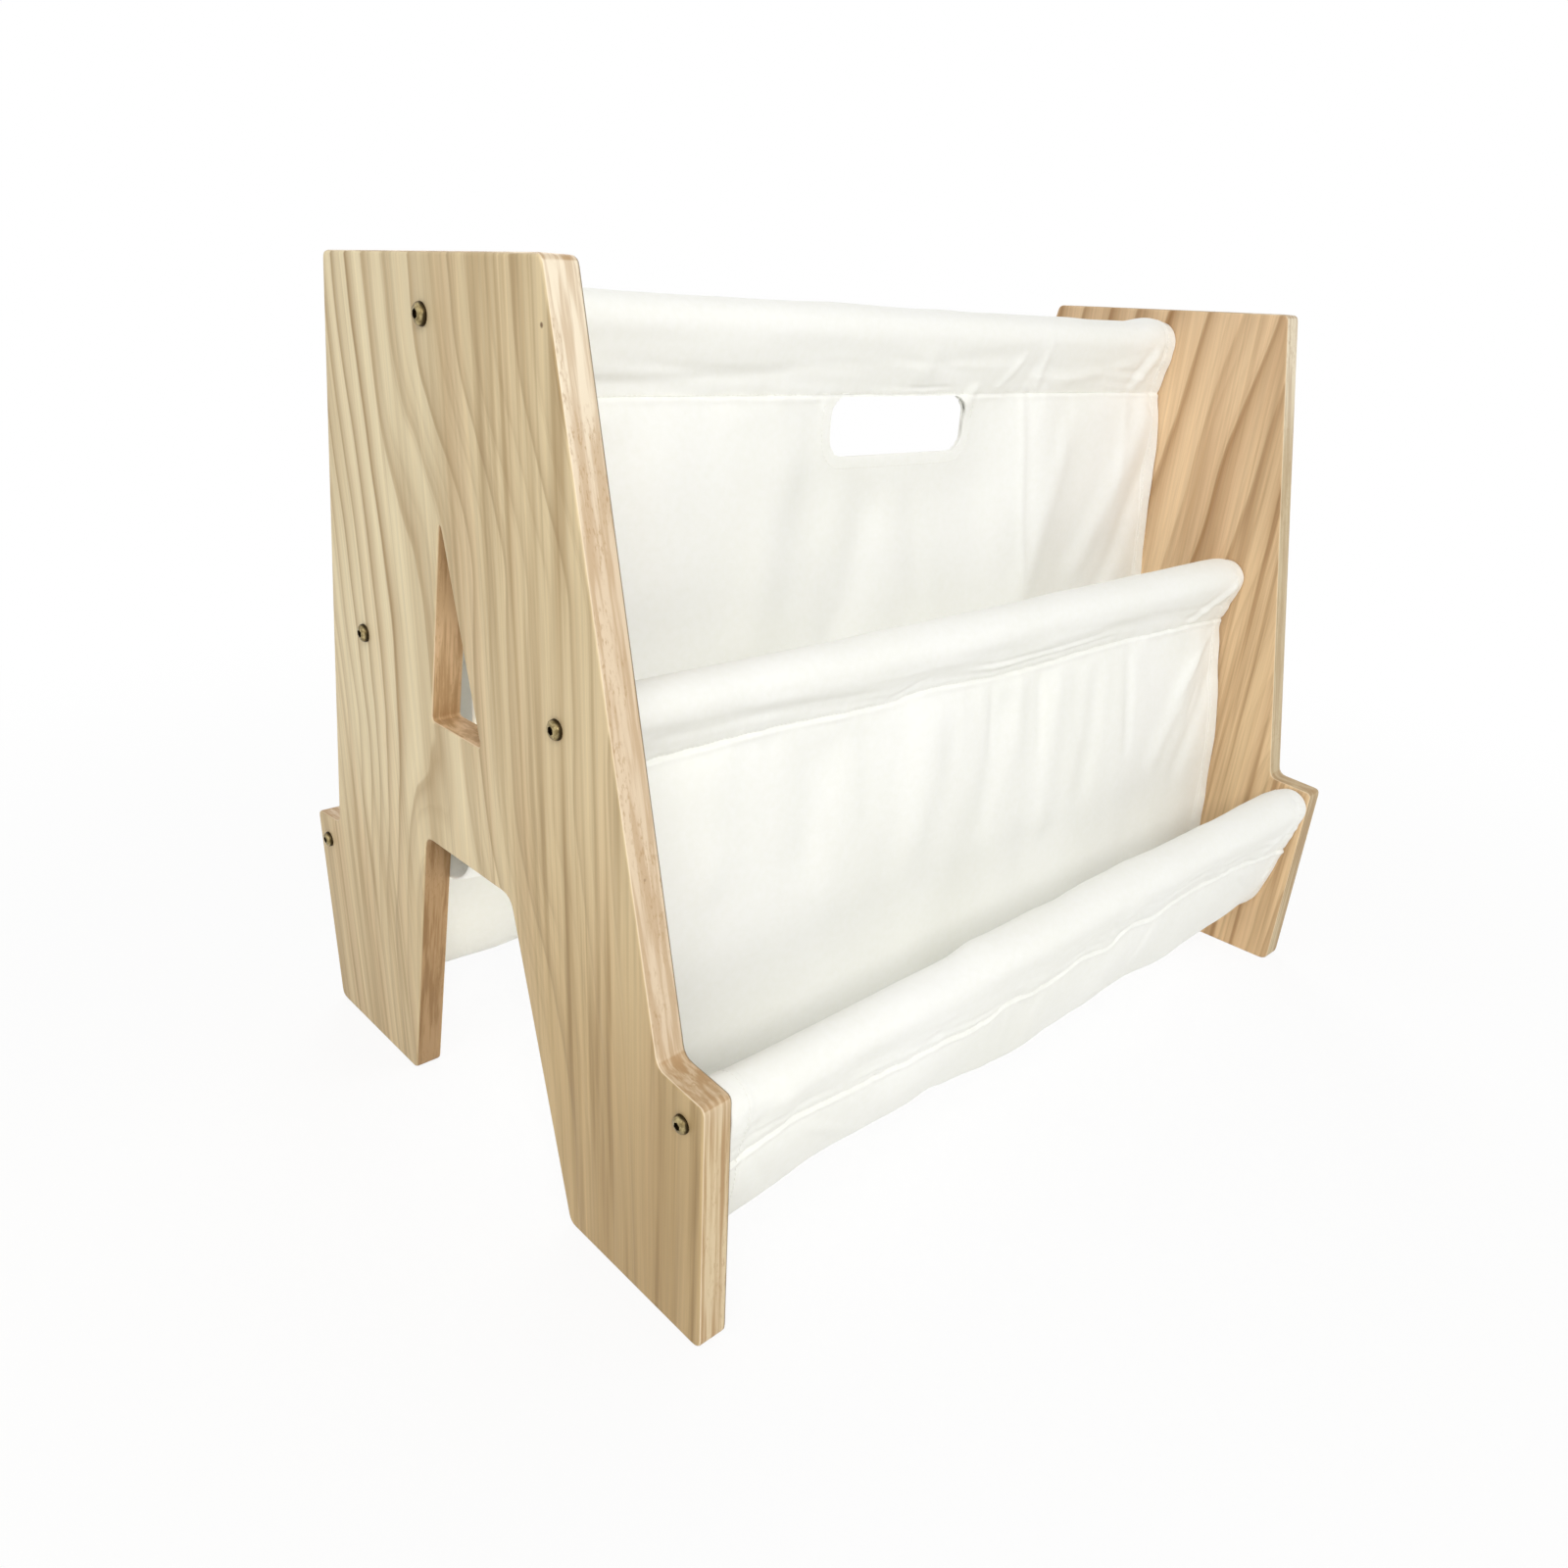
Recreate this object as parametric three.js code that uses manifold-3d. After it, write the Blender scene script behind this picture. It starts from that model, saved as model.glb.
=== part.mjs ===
// Sling bookshelf: two A-shaped pine side panels, five round rails bolted between them,
// and a canvas sling on each side that hangs in two pockets between the rails.
// Millimetres. X runs along the rails, -Y is the front, +Z is up.
// The origin is the middle of the footprint on the floor.

import * as THREE from 'three';
import { mergeVertices } from 'three/addons/utils/BufferGeometryUtils.js';
import Module from 'manifold-3d';

const wasm = await Module();
wasm.setup();

// Frame
const panelHeight = 500;
const boardThickness = 18;
const railSpan = 622;
const seatGap = 0.3;

// Side panel outline, an A: half widths are measured from the middle of the board
const topHalfWidth = 100;
const shoulderHalfWidth = 177;
const shoulderHeight = 159;
const stepReach = 35;
const stepFall = 3;
const footFlare = 3;
const footWidth = 120;
const notchHalfWidth = 47;
const notchHeight = 197;
const crossbarHeight = 78;
const triangleHalfWidth = 26;
const triangleHeight = 112;

// Corner radii seen from the side, and the roundover along every edge
const topCornerRadius = 5;
const shoulderRadius = 8;
const stepRadius = 5;
const footCornerRadius = 7;
const notchRadius = 10;
const triangleRadius = 2;
const roundoverRadius = 1.5;

// Rails
const railDiameter = 25;
const railChamfer = 1;
const topRailDrop = 25;
const midRailHeight = 307;
const midRailInset = 44;
const lowRailDrop = 17;
const lowRailInset = 15;

// Bolts and threaded inserts
const boltDiameter = 6;
const boltHeadDiameter = 10.5;
const boltHeadHeight = 3.3;
const boltHeadRim = 0.6;
const boltSocketWidth = 4;
const boltSocketDepth = 2;
const boltReach = 17;
const boltTipChamfer = 0.8;
const boltHoleClearance = 0.4;
const insertDiameter = 10;
const insertLength = 15;
const insertChamfer = 0.7;
const insertBoreClearance = 0.3;
const pilotRunout = 4;

// Canvas
const clothThickness = 1.2;
const clothEndClearance = 1;
const topSeamDrop = 35;
const topSeamForward = 4;
const topSeamEndForward = 8;
const midSeamDrop = 29;
const midSeamForward = 4.5;
const lowSeamDrop = 31;
const lowSeamForward = 6;
const upperPocketDepth = 147;
const upperPocketSag = 6;
const lowerPocketDepth = 102;
const lowerPocketSag = 6;
const foldDepth = 3.5;

// Hand hole
const handHoleWidth = 130;
const handHoleHeight = 35;
const handHoleRadius = 12;
const handHoleDrop = 1;
const handHoleHem = 12;
const handHoleFade = 80;

// Faceting
const cornerSteps = 4;
const roundoverSteps = 2;
const railSides = 24;
const fastenerSides = 16;
const wrapSteps = 7;
const hangSteps = 10;
const clothSteps = 11;

// Places worked out from the sizes above
const panelOffset = railSpan / 2 + boardThickness / 2;
const railRadius = railDiameter / 2;
const clothHalfWidth = railSpan / 2 - clothEndClearance;
const layerPitch = clothThickness + seatGap;
const stepHalfWidth = shoulderHalfWidth + stepReach;
const stepHeight = shoulderHeight - stepFall;
const footHalfWidth = stepHalfWidth + footFlare;
const footInnerHalfWidth = footHalfWidth - footWidth;
const triangleBaseHeight = notchHeight + crossbarHeight;
const edgeSlope = (shoulderHalfWidth - topHalfWidth) / (panelHeight - shoulderHeight);
const midRailForward = topHalfWidth + edgeSlope * (panelHeight - midRailHeight) - midRailInset;
const lowRailForward = stepHalfWidth - lowRailInset;
const lowRailHeight = stepHeight - lowRailDrop;
const topRail = new THREE.Vector2(0, panelHeight - topRailDrop);
const midRail = new THREE.Vector2(midRailForward, midRailHeight);
const lowRail = new THREE.Vector2(lowRailForward, lowRailHeight);
const rails = [
  { name: 'top', forward: topRail.x, height: topRail.y },
  { name: 'front_mid', forward: midRail.x, height: midRail.y },
  { name: 'rear_mid', forward: -midRail.x, height: midRail.y },
  { name: 'front_low', forward: lowRail.x, height: lowRail.y },
  { name: 'rear_low', forward: -lowRail.x, height: lowRail.y },
];

// How a hanging stretch of cloth falls between two seams: share of the way across,
// and share of the height of the seam on that side above the pocket's bottom.
const upperFallShares = [[0.055, 0.93], [0.105, 0.81], [0.18, 0.48], [0.26, 0.22], [0.36, 0.06]];
const upperRiseShares = [[0.75, 0.08], [0.89, 0.35], [0.965, 0.7]];
const upperBottomShare = 0.55;
const lowerFallShares = [[0.09, 0.8], [0.17, 0.55], [0.24, 0.25], [0.31, 0.1], [0.42, 0.02]];
const lowerRiseShares = [[0.74, 0.06], [0.87, 0.22], [0.97, 0.62]];
const lowerBottomShare = 0.58;

// Soft upright folds: share of the width, share of the width that one is wide, share of the depth.
const upperFoldShares = [[0.28, 0.07, 0.5], [0.7, 0.06, 0.9], [0.83, 0.05, -0.7], [0.93, 0.04, 0.6]];
const lowerFoldShares = [[0.2, 0.08, 0.6], [0.45, 0.07, -0.5], [0.66, 0.06, 0.8], [0.85, 0.06, -0.7]];

const pine = { color: 0xdec9a2, roughness: 0.6, metalness: 0 };
const paleCanvas = { color: 0xf3f3ea, roughness: 0.92, metalness: 0 };
const agedBrass = { color: 0x8c7a4f, roughness: 0.4, metalness: 1 };
const zincSteel = { color: 0xb9bcc0, roughness: 0.45, metalness: 1 };

function toManifold(geometry) {
  const bare = geometry.clone();
  bare.deleteAttribute('normal');
  bare.deleteAttribute('uv');
  const merged = mergeVertices(bare);
  return new wasm.Manifold(new wasm.Mesh({
    numProp: 3,
    vertProperties: new Float32Array(merged.attributes.position.array),
    triVerts: new Uint32Array(merged.index.array),
  }));
}

function toGeometry(solid) {
  const { vertProperties, triVerts } = solid.getMesh();
  const geometry = new THREE.BufferGeometry();
  geometry.setAttribute('position', new THREE.BufferAttribute(vertProperties, 3));
  geometry.setIndex(new THREE.BufferAttribute(triVerts, 1));
  geometry.computeVertexNormals();
  return geometry;
}

function cutAway(geometry, cutters) {
  const cut = cutters.reduce((rest, cutter) => rest.subtract(toManifold(cutter)), toManifold(geometry));
  return toGeometry(cut);
}

function addMesh(group, name, geometry, finish) {
  const mesh = new THREE.Mesh(geometry, new THREE.MeshStandardMaterial(finish));
  mesh.name = name;
  group.add(mesh);
  return mesh;
}

// A closed outline whose corners are eased by a curve that starts one radius' tangent away.
function easedOutline(corners) {
  const points = [];
  corners.forEach(({ at, radius }, index) => {
    const before = corners[(index + corners.length - 1) % corners.length].at;
    const after = corners[(index + 1) % corners.length].at;
    const toBefore = before.clone().sub(at).normalize();
    const toAfter = after.clone().sub(at).normalize();
    const halfAngle = Math.acos(toBefore.dot(toAfter)) / 2;
    const reach = radius / Math.tan(halfAngle);
    const start = at.clone().addScaledVector(toBefore, reach);
    const end = at.clone().addScaledVector(toAfter, reach);
    points.push(...new THREE.QuadraticBezierCurve(start, at, end).getPoints(cornerSteps));
  });
  return points;
}

function panelOutline() {
  const half = [
    [topHalfWidth, panelHeight, topCornerRadius],
    [shoulderHalfWidth, shoulderHeight, shoulderRadius],
    [stepHalfWidth, stepHeight, stepRadius],
    [footHalfWidth, 0, footCornerRadius],
    [footInnerHalfWidth, 0, footCornerRadius],
    [notchHalfWidth, notchHeight, notchRadius],
  ];
  const right = half.map(([x, y, radius]) => ({ at: new THREE.Vector2(x, y), radius }));
  const left = half.map(([x, y, radius]) => ({ at: new THREE.Vector2(-x, y), radius })).reverse();
  return easedOutline([...right, ...left]);
}

function triangleOutline() {
  const apex = new THREE.Vector2(0, triangleBaseHeight + triangleHeight);
  const left = new THREE.Vector2(-triangleHalfWidth, triangleBaseHeight);
  const right = new THREE.Vector2(triangleHalfWidth, triangleBaseHeight);
  return easedOutline([apex, left, right].map((at) => ({ at, radius: triangleRadius })));
}

// The board stands in the YZ plane with its thickness along X, centred on its own origin.
function panelGeometry() {
  const shape = new THREE.Shape(panelOutline());
  shape.holes.push(new THREE.Path(triangleOutline()));
  const board = new THREE.ExtrudeGeometry(shape, {
    depth: boardThickness - 2 * roundoverRadius,
    bevelSize: roundoverRadius,
    bevelThickness: roundoverRadius,
    bevelOffset: -roundoverRadius,
    bevelSegments: roundoverSteps,
  });
  board.translate(0, 0, roundoverRadius - boardThickness / 2);
  const toYZ = new THREE.Matrix4().makeBasis(
    new THREE.Vector3(0, 1, 0),
    new THREE.Vector3(0, 0, 1),
    new THREE.Vector3(1, 0, 0),
  );
  board.applyMatrix4(toYZ);
  const holeRadius = boltDiameter / 2 + boltHoleClearance;
  const holes = rails.map(({ forward, height }) => {
    const drill = new THREE.CylinderGeometry(holeRadius, holeRadius, 2 * boardThickness, fastenerSides);
    drill.rotateZ(Math.PI / 2);
    drill.translate(0, -forward, height);
    return drill;
  });
  return cutAway(board, holes);
}

// A solid of revolution whose axis is turned to run along X.
function turned(profile, sides) {
  const geometry = new THREE.LatheGeometry(profile.map(([r, y]) => new THREE.Vector2(r, y)), sides);
  geometry.rotateZ(-Math.PI / 2);
  return geometry;
}

// A rail with a stepped bore in each end: wide for the insert, narrow for the bolt's tip.
function railGeometry() {
  const half = railSpan / 2 - seatGap;
  const insertRadius = insertDiameter / 2 + seatGap;
  const insertDepth = insertLength + seatGap;
  const pilotRadius = boltDiameter / 2 + boltHoleClearance;
  const pilotDepth = boltReach + pilotRunout;
  const end = [
    [0, half - pilotDepth],
    [pilotRadius, half - pilotDepth],
    [pilotRadius, half - insertDepth],
    [insertRadius, half - insertDepth],
    [insertRadius, half],
    [railRadius - railChamfer, half],
    [railRadius, half - railChamfer],
  ];
  const otherEnd = end.map(([r, y]) => [r, -y]);
  return turned([...otherEnd, ...end.reverse()], railSides);
}

// A threaded insert is a ring round the bolt, with its outer end at its own origin.
function insertGeometry() {
  const outer = insertDiameter / 2;
  const inner = boltDiameter / 2 + insertBoreClearance;
  return turned([
    [inner, 0],
    [outer, 0],
    [outer, insertLength - insertChamfer],
    [outer - insertChamfer, insertLength],
    [inner, insertLength],
    [inner, 0],
  ], fastenerSides);
}

// A button-head bolt: its head's underside is at its own origin and its shank points along +X.
function boltGeometry() {
  const shankLength = boardThickness + boltReach;
  const headRadius = boltHeadDiameter / 2;
  const shankRadius = boltDiameter / 2;
  const domeHeight = boltHeadHeight - boltHeadRim;
  const crownRadius = boltSocketWidth / Math.sqrt(3);
  const dome = [1, 2 / 3, 1 / 3, 0].map((share) => {
    const angle = share * Math.PI / 2;
    const radius = crownRadius + (headRadius - crownRadius) * Math.cos(angle);
    return [radius, -boltHeadRim - domeHeight * Math.sin(angle)];
  });
  const body = turned([
    [0, -boltHeadHeight],
    ...dome,
    [headRadius, 0],
    [shankRadius, 0],
    [shankRadius, shankLength - boltTipChamfer],
    [shankRadius - boltTipChamfer, shankLength],
    [0, shankLength],
  ], fastenerSides);
  const hexKey = new THREE.CylinderGeometry(crownRadius, crownRadius, 2 * boltSocketDepth, 6);
  hexKey.rotateZ(Math.PI / 2);
  hexKey.translate(-boltHeadHeight, 0, 0);
  return cutAway(body, [hexKey]);
}

// Points of a cloth that wraps over a rail, from the layer behind the seam to the layer before it.
function wrapPoints(rail, behind, before) {
  const clear = railRadius + seatGap + clothThickness / 2;
  const lean = (seam) => Math.acos(clear / rail.distanceTo(seam));
  const angleTo = (seam) => seam.clone().sub(rail).angle();
  const start = angleTo(behind) - lean(behind);
  const end = angleTo(before) + lean(before) - 2 * Math.PI;
  const radius = clear / Math.cos((start - end) / wrapSteps / 2);
  return Array.from({ length: wrapSteps + 1 }, (_, index) => {
    const angle = start + (end - start) * index / wrapSteps;
    return new THREE.Vector2(Math.cos(angle), Math.sin(angle)).multiplyScalar(radius).add(rail);
  });
}

// Points of a cloth that hangs from one seam down to a pocket's bottom and up to the next seam.
function hangPoints(from, to, bottom, fallShares, bottomShare, riseShares) {
  const across = (share) => from.x + share * (to.x - from.x);
  const fall = fallShares.map(([share, up]) => new THREE.Vector2(across(share), bottom + up * (from.y - bottom)));
  const rise = riseShares.map(([share, up]) => new THREE.Vector2(across(share), bottom + up * (to.y - bottom)));
  const lowest = new THREE.Vector2(across(bottomShare), bottom);
  return new THREE.SplineCurve([from, ...fall, lowest, ...rise, to]).getPoints(hangSteps);
}

function normalsAlong(points) {
  return points.map((_, index) => {
    const before = points[Math.max(index - 1, 0)];
    const after = points[Math.min(index + 1, points.length - 1)];
    const along = after.clone().sub(before).normalize();
    return new THREE.Vector2(-along.y, along.x);
  });
}

// Push a hanging stretch in and out by its upright folds, which fade out at both seams.
function folded(points, x, foldShares) {
  const width = 2 * clothHalfWidth;
  const place = x / width + 1 / 2;
  const push = foldShares.reduce((sum, [centre, spread, depth]) => {
    const offset = (place - centre) / spread;
    return sum + depth * foldDepth * Math.exp(-offset * offset);
  }, 0);
  const normals = normalsAlong(points);
  return points.map((point, index) => {
    const fade = Math.sin(Math.PI * index / (points.length - 1));
    return point.clone().addScaledVector(normals[index], push * fade * fade);
  });
}

// How strongly the two slings are held together by the hem round the hand hole.
function handHoleHold(x, height) {
  const sideFade = THREE.MathUtils.smoothstep(
    Math.abs(x), handHoleWidth / 2 + handHoleHem, handHoleWidth / 2 + handHoleHem + handHoleFade);
  const holeBottom = topRail.y - topSeamDrop - handHoleDrop - handHoleHeight;
  const rise = THREE.MathUtils.smoothstep(height, holeBottom - handHoleHem - handHoleFade, holeBottom - handHoleHem);
  return (1 - sideFade) * rise;
}

// The cloth's middle surface at one place along the rails, as distances out from the centre plane.
function slingPoints(x, carriesTopWrap) {
  const endShare = Math.abs(x) / clothHalfWidth;
  const sagShare = 1 - endShare * endShare;
  const seamForward = THREE.MathUtils.lerp(topSeamForward, topSeamEndForward, endShare ** 4);
  const topSeamHeight = topRail.y - topSeamDrop;
  const topBefore = new THREE.Vector2(seamForward, topSeamHeight);
  const topBehind = new THREE.Vector2(seamForward - layerPitch, topSeamHeight);
  const rearStart = new THREE.Vector2(-topBehind.x, topSeamHeight - clothThickness);
  const start = carriesTopWrap ? topBefore : rearStart;
  const midBefore = new THREE.Vector2(midRail.x + midSeamForward, midRail.y - midSeamDrop);
  const midBehind = midBefore.clone().setX(midBefore.x - layerPitch);
  const lowBefore = new THREE.Vector2(lowRail.x + lowSeamForward, lowRail.y - lowSeamDrop);
  const lowBehind = lowBefore.clone().setX(lowBefore.x - layerPitch);
  const upperBottom = midRail.y - upperPocketDepth - upperPocketSag * sagShare;
  const lowerBottom = lowRail.y - lowerPocketDepth - lowerPocketSag * sagShare;

  const upperHang = hangPoints(start, midBehind, upperBottom, upperFallShares, upperBottomShare, upperRiseShares);
  const upper = folded(upperHang, x, upperFoldShares).map((point) => {
    const held = handHoleHold(x, point.y);
    return point.setX(THREE.MathUtils.lerp(point.x, start.x, held));
  });
  const lowerHang = hangPoints(midBefore, lowBefore, lowerBottom, lowerFallShares, lowerBottomShare, lowerRiseShares);
  const lower = folded(lowerHang, x, lowerFoldShares);
  const topWrap = carriesTopWrap ? [topBehind, ...wrapPoints(topRail, topBehind, topBefore)] : [];
  const midWrap = wrapPoints(midRail, midBehind, midBefore);
  const lowWrap = wrapPoints(lowRail, lowBehind, lowBefore).reverse();
  return [...topWrap, ...upper, ...midWrap, ...lower, ...lowWrap, lowBehind];
}

// A ribbon of cloth lofted along X through the same points at each step.
// side is 1 for the front sling and -1 for the rear one.
function slingGeometry(side) {
  const positions = [];
  const index = [];
  const stations = Array.from({ length: clothSteps + 1 }, (_, step) => {
    const x = clothHalfWidth * (2 * step / clothSteps - 1);
    return { x, points: slingPoints(x, side > 0) };
  });
  const count = stations[0].points.length;
  for (const { x, points } of stations) {
    const normals = normalsAlong(points);
    for (const face of [1, -1]) {
      points.forEach((point, at) => {
        const edge = point.clone().addScaledVector(normals[at], face * clothThickness / 2);
        positions.push(x, -side * edge.x, edge.y);
      });
    }
  }
  const addQuad = (a, b, c, d) => index.push(...(side > 0 ? [a, c, b, a, d, c] : [a, b, c, a, c, d]));
  const stride = 2 * count;
  for (let step = 0; step < clothSteps; step += 1) {
    const near = step * stride;
    const far = near + stride;
    for (let at = 0; at < count - 1; at += 1) {
      addQuad(near + at, far + at, far + at + 1, near + at + 1);
      addQuad(near + count + at, near + count + at + 1, far + count + at + 1, far + count + at);
    }
    addQuad(near, near + count, far + count, far);
    addQuad(near + count - 1, far + count - 1, far + stride - 1, near + stride - 1);
  }
  const last = clothSteps * stride;
  for (let at = 0; at < count - 1; at += 1) {
    addQuad(at, at + 1, count + at + 1, count + at);
    addQuad(last + at, last + count + at, last + count + at + 1, last + at + 1);
  }
  const geometry = new THREE.BufferGeometry();
  geometry.setAttribute('position', new THREE.Float32BufferAttribute(positions, 3));
  geometry.setIndex(index);
  return cutAway(geometry, [handHoleCutter()]);
}

// The rounded slot that is cut through both slings just under the top seam.
function handHoleCutter() {
  const half = handHoleWidth / 2;
  const top = topRail.y - topSeamDrop - handHoleDrop;
  const corners = [
    [half, top],
    [-half, top],
    [-half, top - handHoleHeight],
    [half, top - handHoleHeight],
  ].map(([x, y]) => ({ at: new THREE.Vector2(x, y), radius: handHoleRadius }));
  const cutter = new THREE.ExtrudeGeometry(new THREE.Shape(easedOutline(corners)), {
    depth: 2 * railDiameter,
    bevelEnabled: false,
  });
  cutter.translate(0, 0, -railDiameter);
  cutter.rotateX(Math.PI / 2);
  return cutter;
}

const bookshelf = new THREE.Group();

for (const [name, side] of [['left', -1], ['right', 1]]) {
  const panel = addMesh(bookshelf, `${name}_side_panel`, panelGeometry(), pine);
  panel.position.x = side * panelOffset;
}

for (const { name, forward, height } of rails) {
  const rail = addMesh(bookshelf, `${name}_rail`, railGeometry(), pine);
  rail.position.set(0, -forward, height);
  for (const [end, side] of [['left', -1], ['right', 1]]) {
    const turn = side > 0 ? Math.PI : 0;
    const insert = addMesh(bookshelf, `${name}_insert_${end}`, insertGeometry(), zincSteel);
    insert.position.set(side * (railSpan / 2 - seatGap), -forward, height);
    insert.rotation.z = turn;
    const bolt = addMesh(bookshelf, `${name}_bolt_${end}`, boltGeometry(), agedBrass);
    bolt.position.set(side * (railSpan / 2 + boardThickness + seatGap), -forward, height);
    bolt.rotation.z = turn;
  }
}

addMesh(bookshelf, 'front_sling', slingGeometry(1), paleCanvas);
addMesh(bookshelf, 'rear_sling', slingGeometry(-1), paleCanvas);

export default bookshelf;
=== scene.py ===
import math

import bpy
import numpy as np
from mathutils import Matrix, Vector


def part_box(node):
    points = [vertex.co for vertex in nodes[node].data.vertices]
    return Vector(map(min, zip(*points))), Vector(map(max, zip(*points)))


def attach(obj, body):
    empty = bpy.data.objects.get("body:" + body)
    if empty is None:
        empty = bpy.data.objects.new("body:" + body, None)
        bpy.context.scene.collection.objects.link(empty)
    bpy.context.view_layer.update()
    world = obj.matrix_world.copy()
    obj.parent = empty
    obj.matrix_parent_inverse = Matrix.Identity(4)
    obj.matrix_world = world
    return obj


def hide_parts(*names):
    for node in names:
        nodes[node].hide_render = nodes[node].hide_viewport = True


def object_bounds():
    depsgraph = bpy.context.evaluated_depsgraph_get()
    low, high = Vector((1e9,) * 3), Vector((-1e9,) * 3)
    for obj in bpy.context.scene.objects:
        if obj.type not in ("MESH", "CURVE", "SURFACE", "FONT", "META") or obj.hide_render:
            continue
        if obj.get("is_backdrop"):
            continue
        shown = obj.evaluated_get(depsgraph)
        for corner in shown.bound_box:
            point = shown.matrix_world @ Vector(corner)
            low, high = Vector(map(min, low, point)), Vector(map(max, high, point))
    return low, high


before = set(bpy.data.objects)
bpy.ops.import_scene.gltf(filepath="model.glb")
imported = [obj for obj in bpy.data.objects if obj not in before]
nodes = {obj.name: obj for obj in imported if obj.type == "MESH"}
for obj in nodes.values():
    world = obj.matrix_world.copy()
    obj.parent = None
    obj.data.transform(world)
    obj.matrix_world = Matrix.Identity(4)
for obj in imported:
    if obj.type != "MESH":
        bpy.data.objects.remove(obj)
cad_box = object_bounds()
RAILS = ("top", "front_mid", "rear_mid", "front_low", "rear_low")

# The camera: its place in metres, its turn in radians, its focal length and centre in pixels of the frame
PHOTO_SIZE = 1600
SENSOR_WIDTH = 36
FOCAL_LENGTH = 1139.95
CENTRE_ACROSS, CENTRE_DOWN = 778.28, 896.83
CAMERA_PLACE = (-0.596, -0.52074, 0.48503)
YAW, PITCH_DOWN, ROLL = 0.7647, -0.4718, 0.0561

# Where a lamp aims unless it says otherwise, and a glow's size: a long strip, or a small ball without a target
AIM = (0, 0, 0.22)
GLOW_LENGTH, GLOW_WIDTH = 0.56, 0.03


def add_camera():
    forward = Vector((math.sin(YAW) * math.cos(PITCH_DOWN), math.cos(YAW) * math.cos(PITCH_DOWN), math.sin(PITCH_DOWN)))
    level = Vector((math.cos(YAW), -math.sin(YAW), 0))
    above = level.cross(forward)
    right = math.cos(ROLL) * level + math.sin(ROLL) * above
    up = math.cos(ROLL) * above - math.sin(ROLL) * level
    data = bpy.data.cameras.new("camera")
    data.sensor_width = SENSOR_WIDTH
    data.lens = SENSOR_WIDTH * FOCAL_LENGTH / PHOTO_SIZE
    data.shift_x = (PHOTO_SIZE / 2 - CENTRE_ACROSS) / PHOTO_SIZE
    data.shift_y = (CENTRE_DOWN - PHOTO_SIZE / 2) / PHOTO_SIZE
    data.clip_start = 0.01
    camera = bpy.data.objects.new("camera", data)
    turn = Matrix((right, up, -forward)).transposed().to_4x4()
    camera.matrix_world = Matrix.Translation(CAMERA_PLACE) @ turn
    bpy.context.scene.collection.objects.link(camera)
    bpy.context.scene.camera = camera


def place_lamp(data, place, target):
    lamp = bpy.data.objects.new(data.name, data)
    lamp.location = place
    if target:
        lamp.rotation_euler = (Vector(target) - Vector(place)).to_track_quat("-Z", "Y").to_euler()
    bpy.context.scene.collection.objects.link(lamp)
    return lamp


def add_lamp(name, place, size, power, target=AIM):
    data = bpy.data.lights.new(name, "AREA")
    data.shape = "DISK"
    data.size = size
    data.energy = power
    place_lamp(data, place, target)


def add_glow(place, power, target=None):
    """A little of the light that thin canvas lets through: between the slings, or with a target along a pocket."""
    data = bpy.data.lights.new("glow", "AREA" if target else "POINT")
    data.energy = power
    if target:
        data.shape = "RECTANGLE"
        data.size, data.size_y = GLOW_LENGTH, GLOW_WIDTH
    else:
        data.shadow_soft_size = GLOW_WIDTH
    place_lamp(data, place, target).visible_camera = False


def seen_directly(tree):
    """1 for the rays that show the background: camera, glossy and transmission rays."""
    path = tree.nodes.new("ShaderNodeLightPath")
    total = None
    for name in ("Is Camera Ray", "Is Glossy Ray", "Is Transmission Ray"):
        if total is None:
            total = path.outputs[name]
            continue
        add = tree.nodes.new("ShaderNodeMath")
        add.operation = "MAXIMUM"
        tree.links.new(total, add.inputs[0])
        tree.links.new(path.outputs[name], add.inputs[1])
        total = add.outputs[0]
    return total


def add_world(ambient):
    world = bpy.data.worlds.new("studio")
    bpy.context.scene.world = world
    world.use_nodes = True
    tree = world.node_tree
    tree.nodes.clear()
    lit = tree.nodes.new("ShaderNodeBackground")
    lit.inputs["Color"].default_value = (1, 0.995, 0.985, 1)
    lit.inputs["Strength"].default_value = ambient
    shown = tree.nodes.new("ShaderNodeBackground")
    shown.inputs["Color"].default_value = (1, 1, 1, 1)
    shown.inputs["Strength"].default_value = 1
    mix = tree.nodes.new("ShaderNodeMixShader")
    output = tree.nodes.new("ShaderNodeOutputWorld")
    tree.links.new(seen_directly(tree), mix.inputs[0])
    tree.links.new(lit.outputs[0], mix.inputs[1])
    tree.links.new(shown.outputs[0], mix.inputs[2])
    tree.links.new(mix.outputs[0], output.inputs[0])


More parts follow.
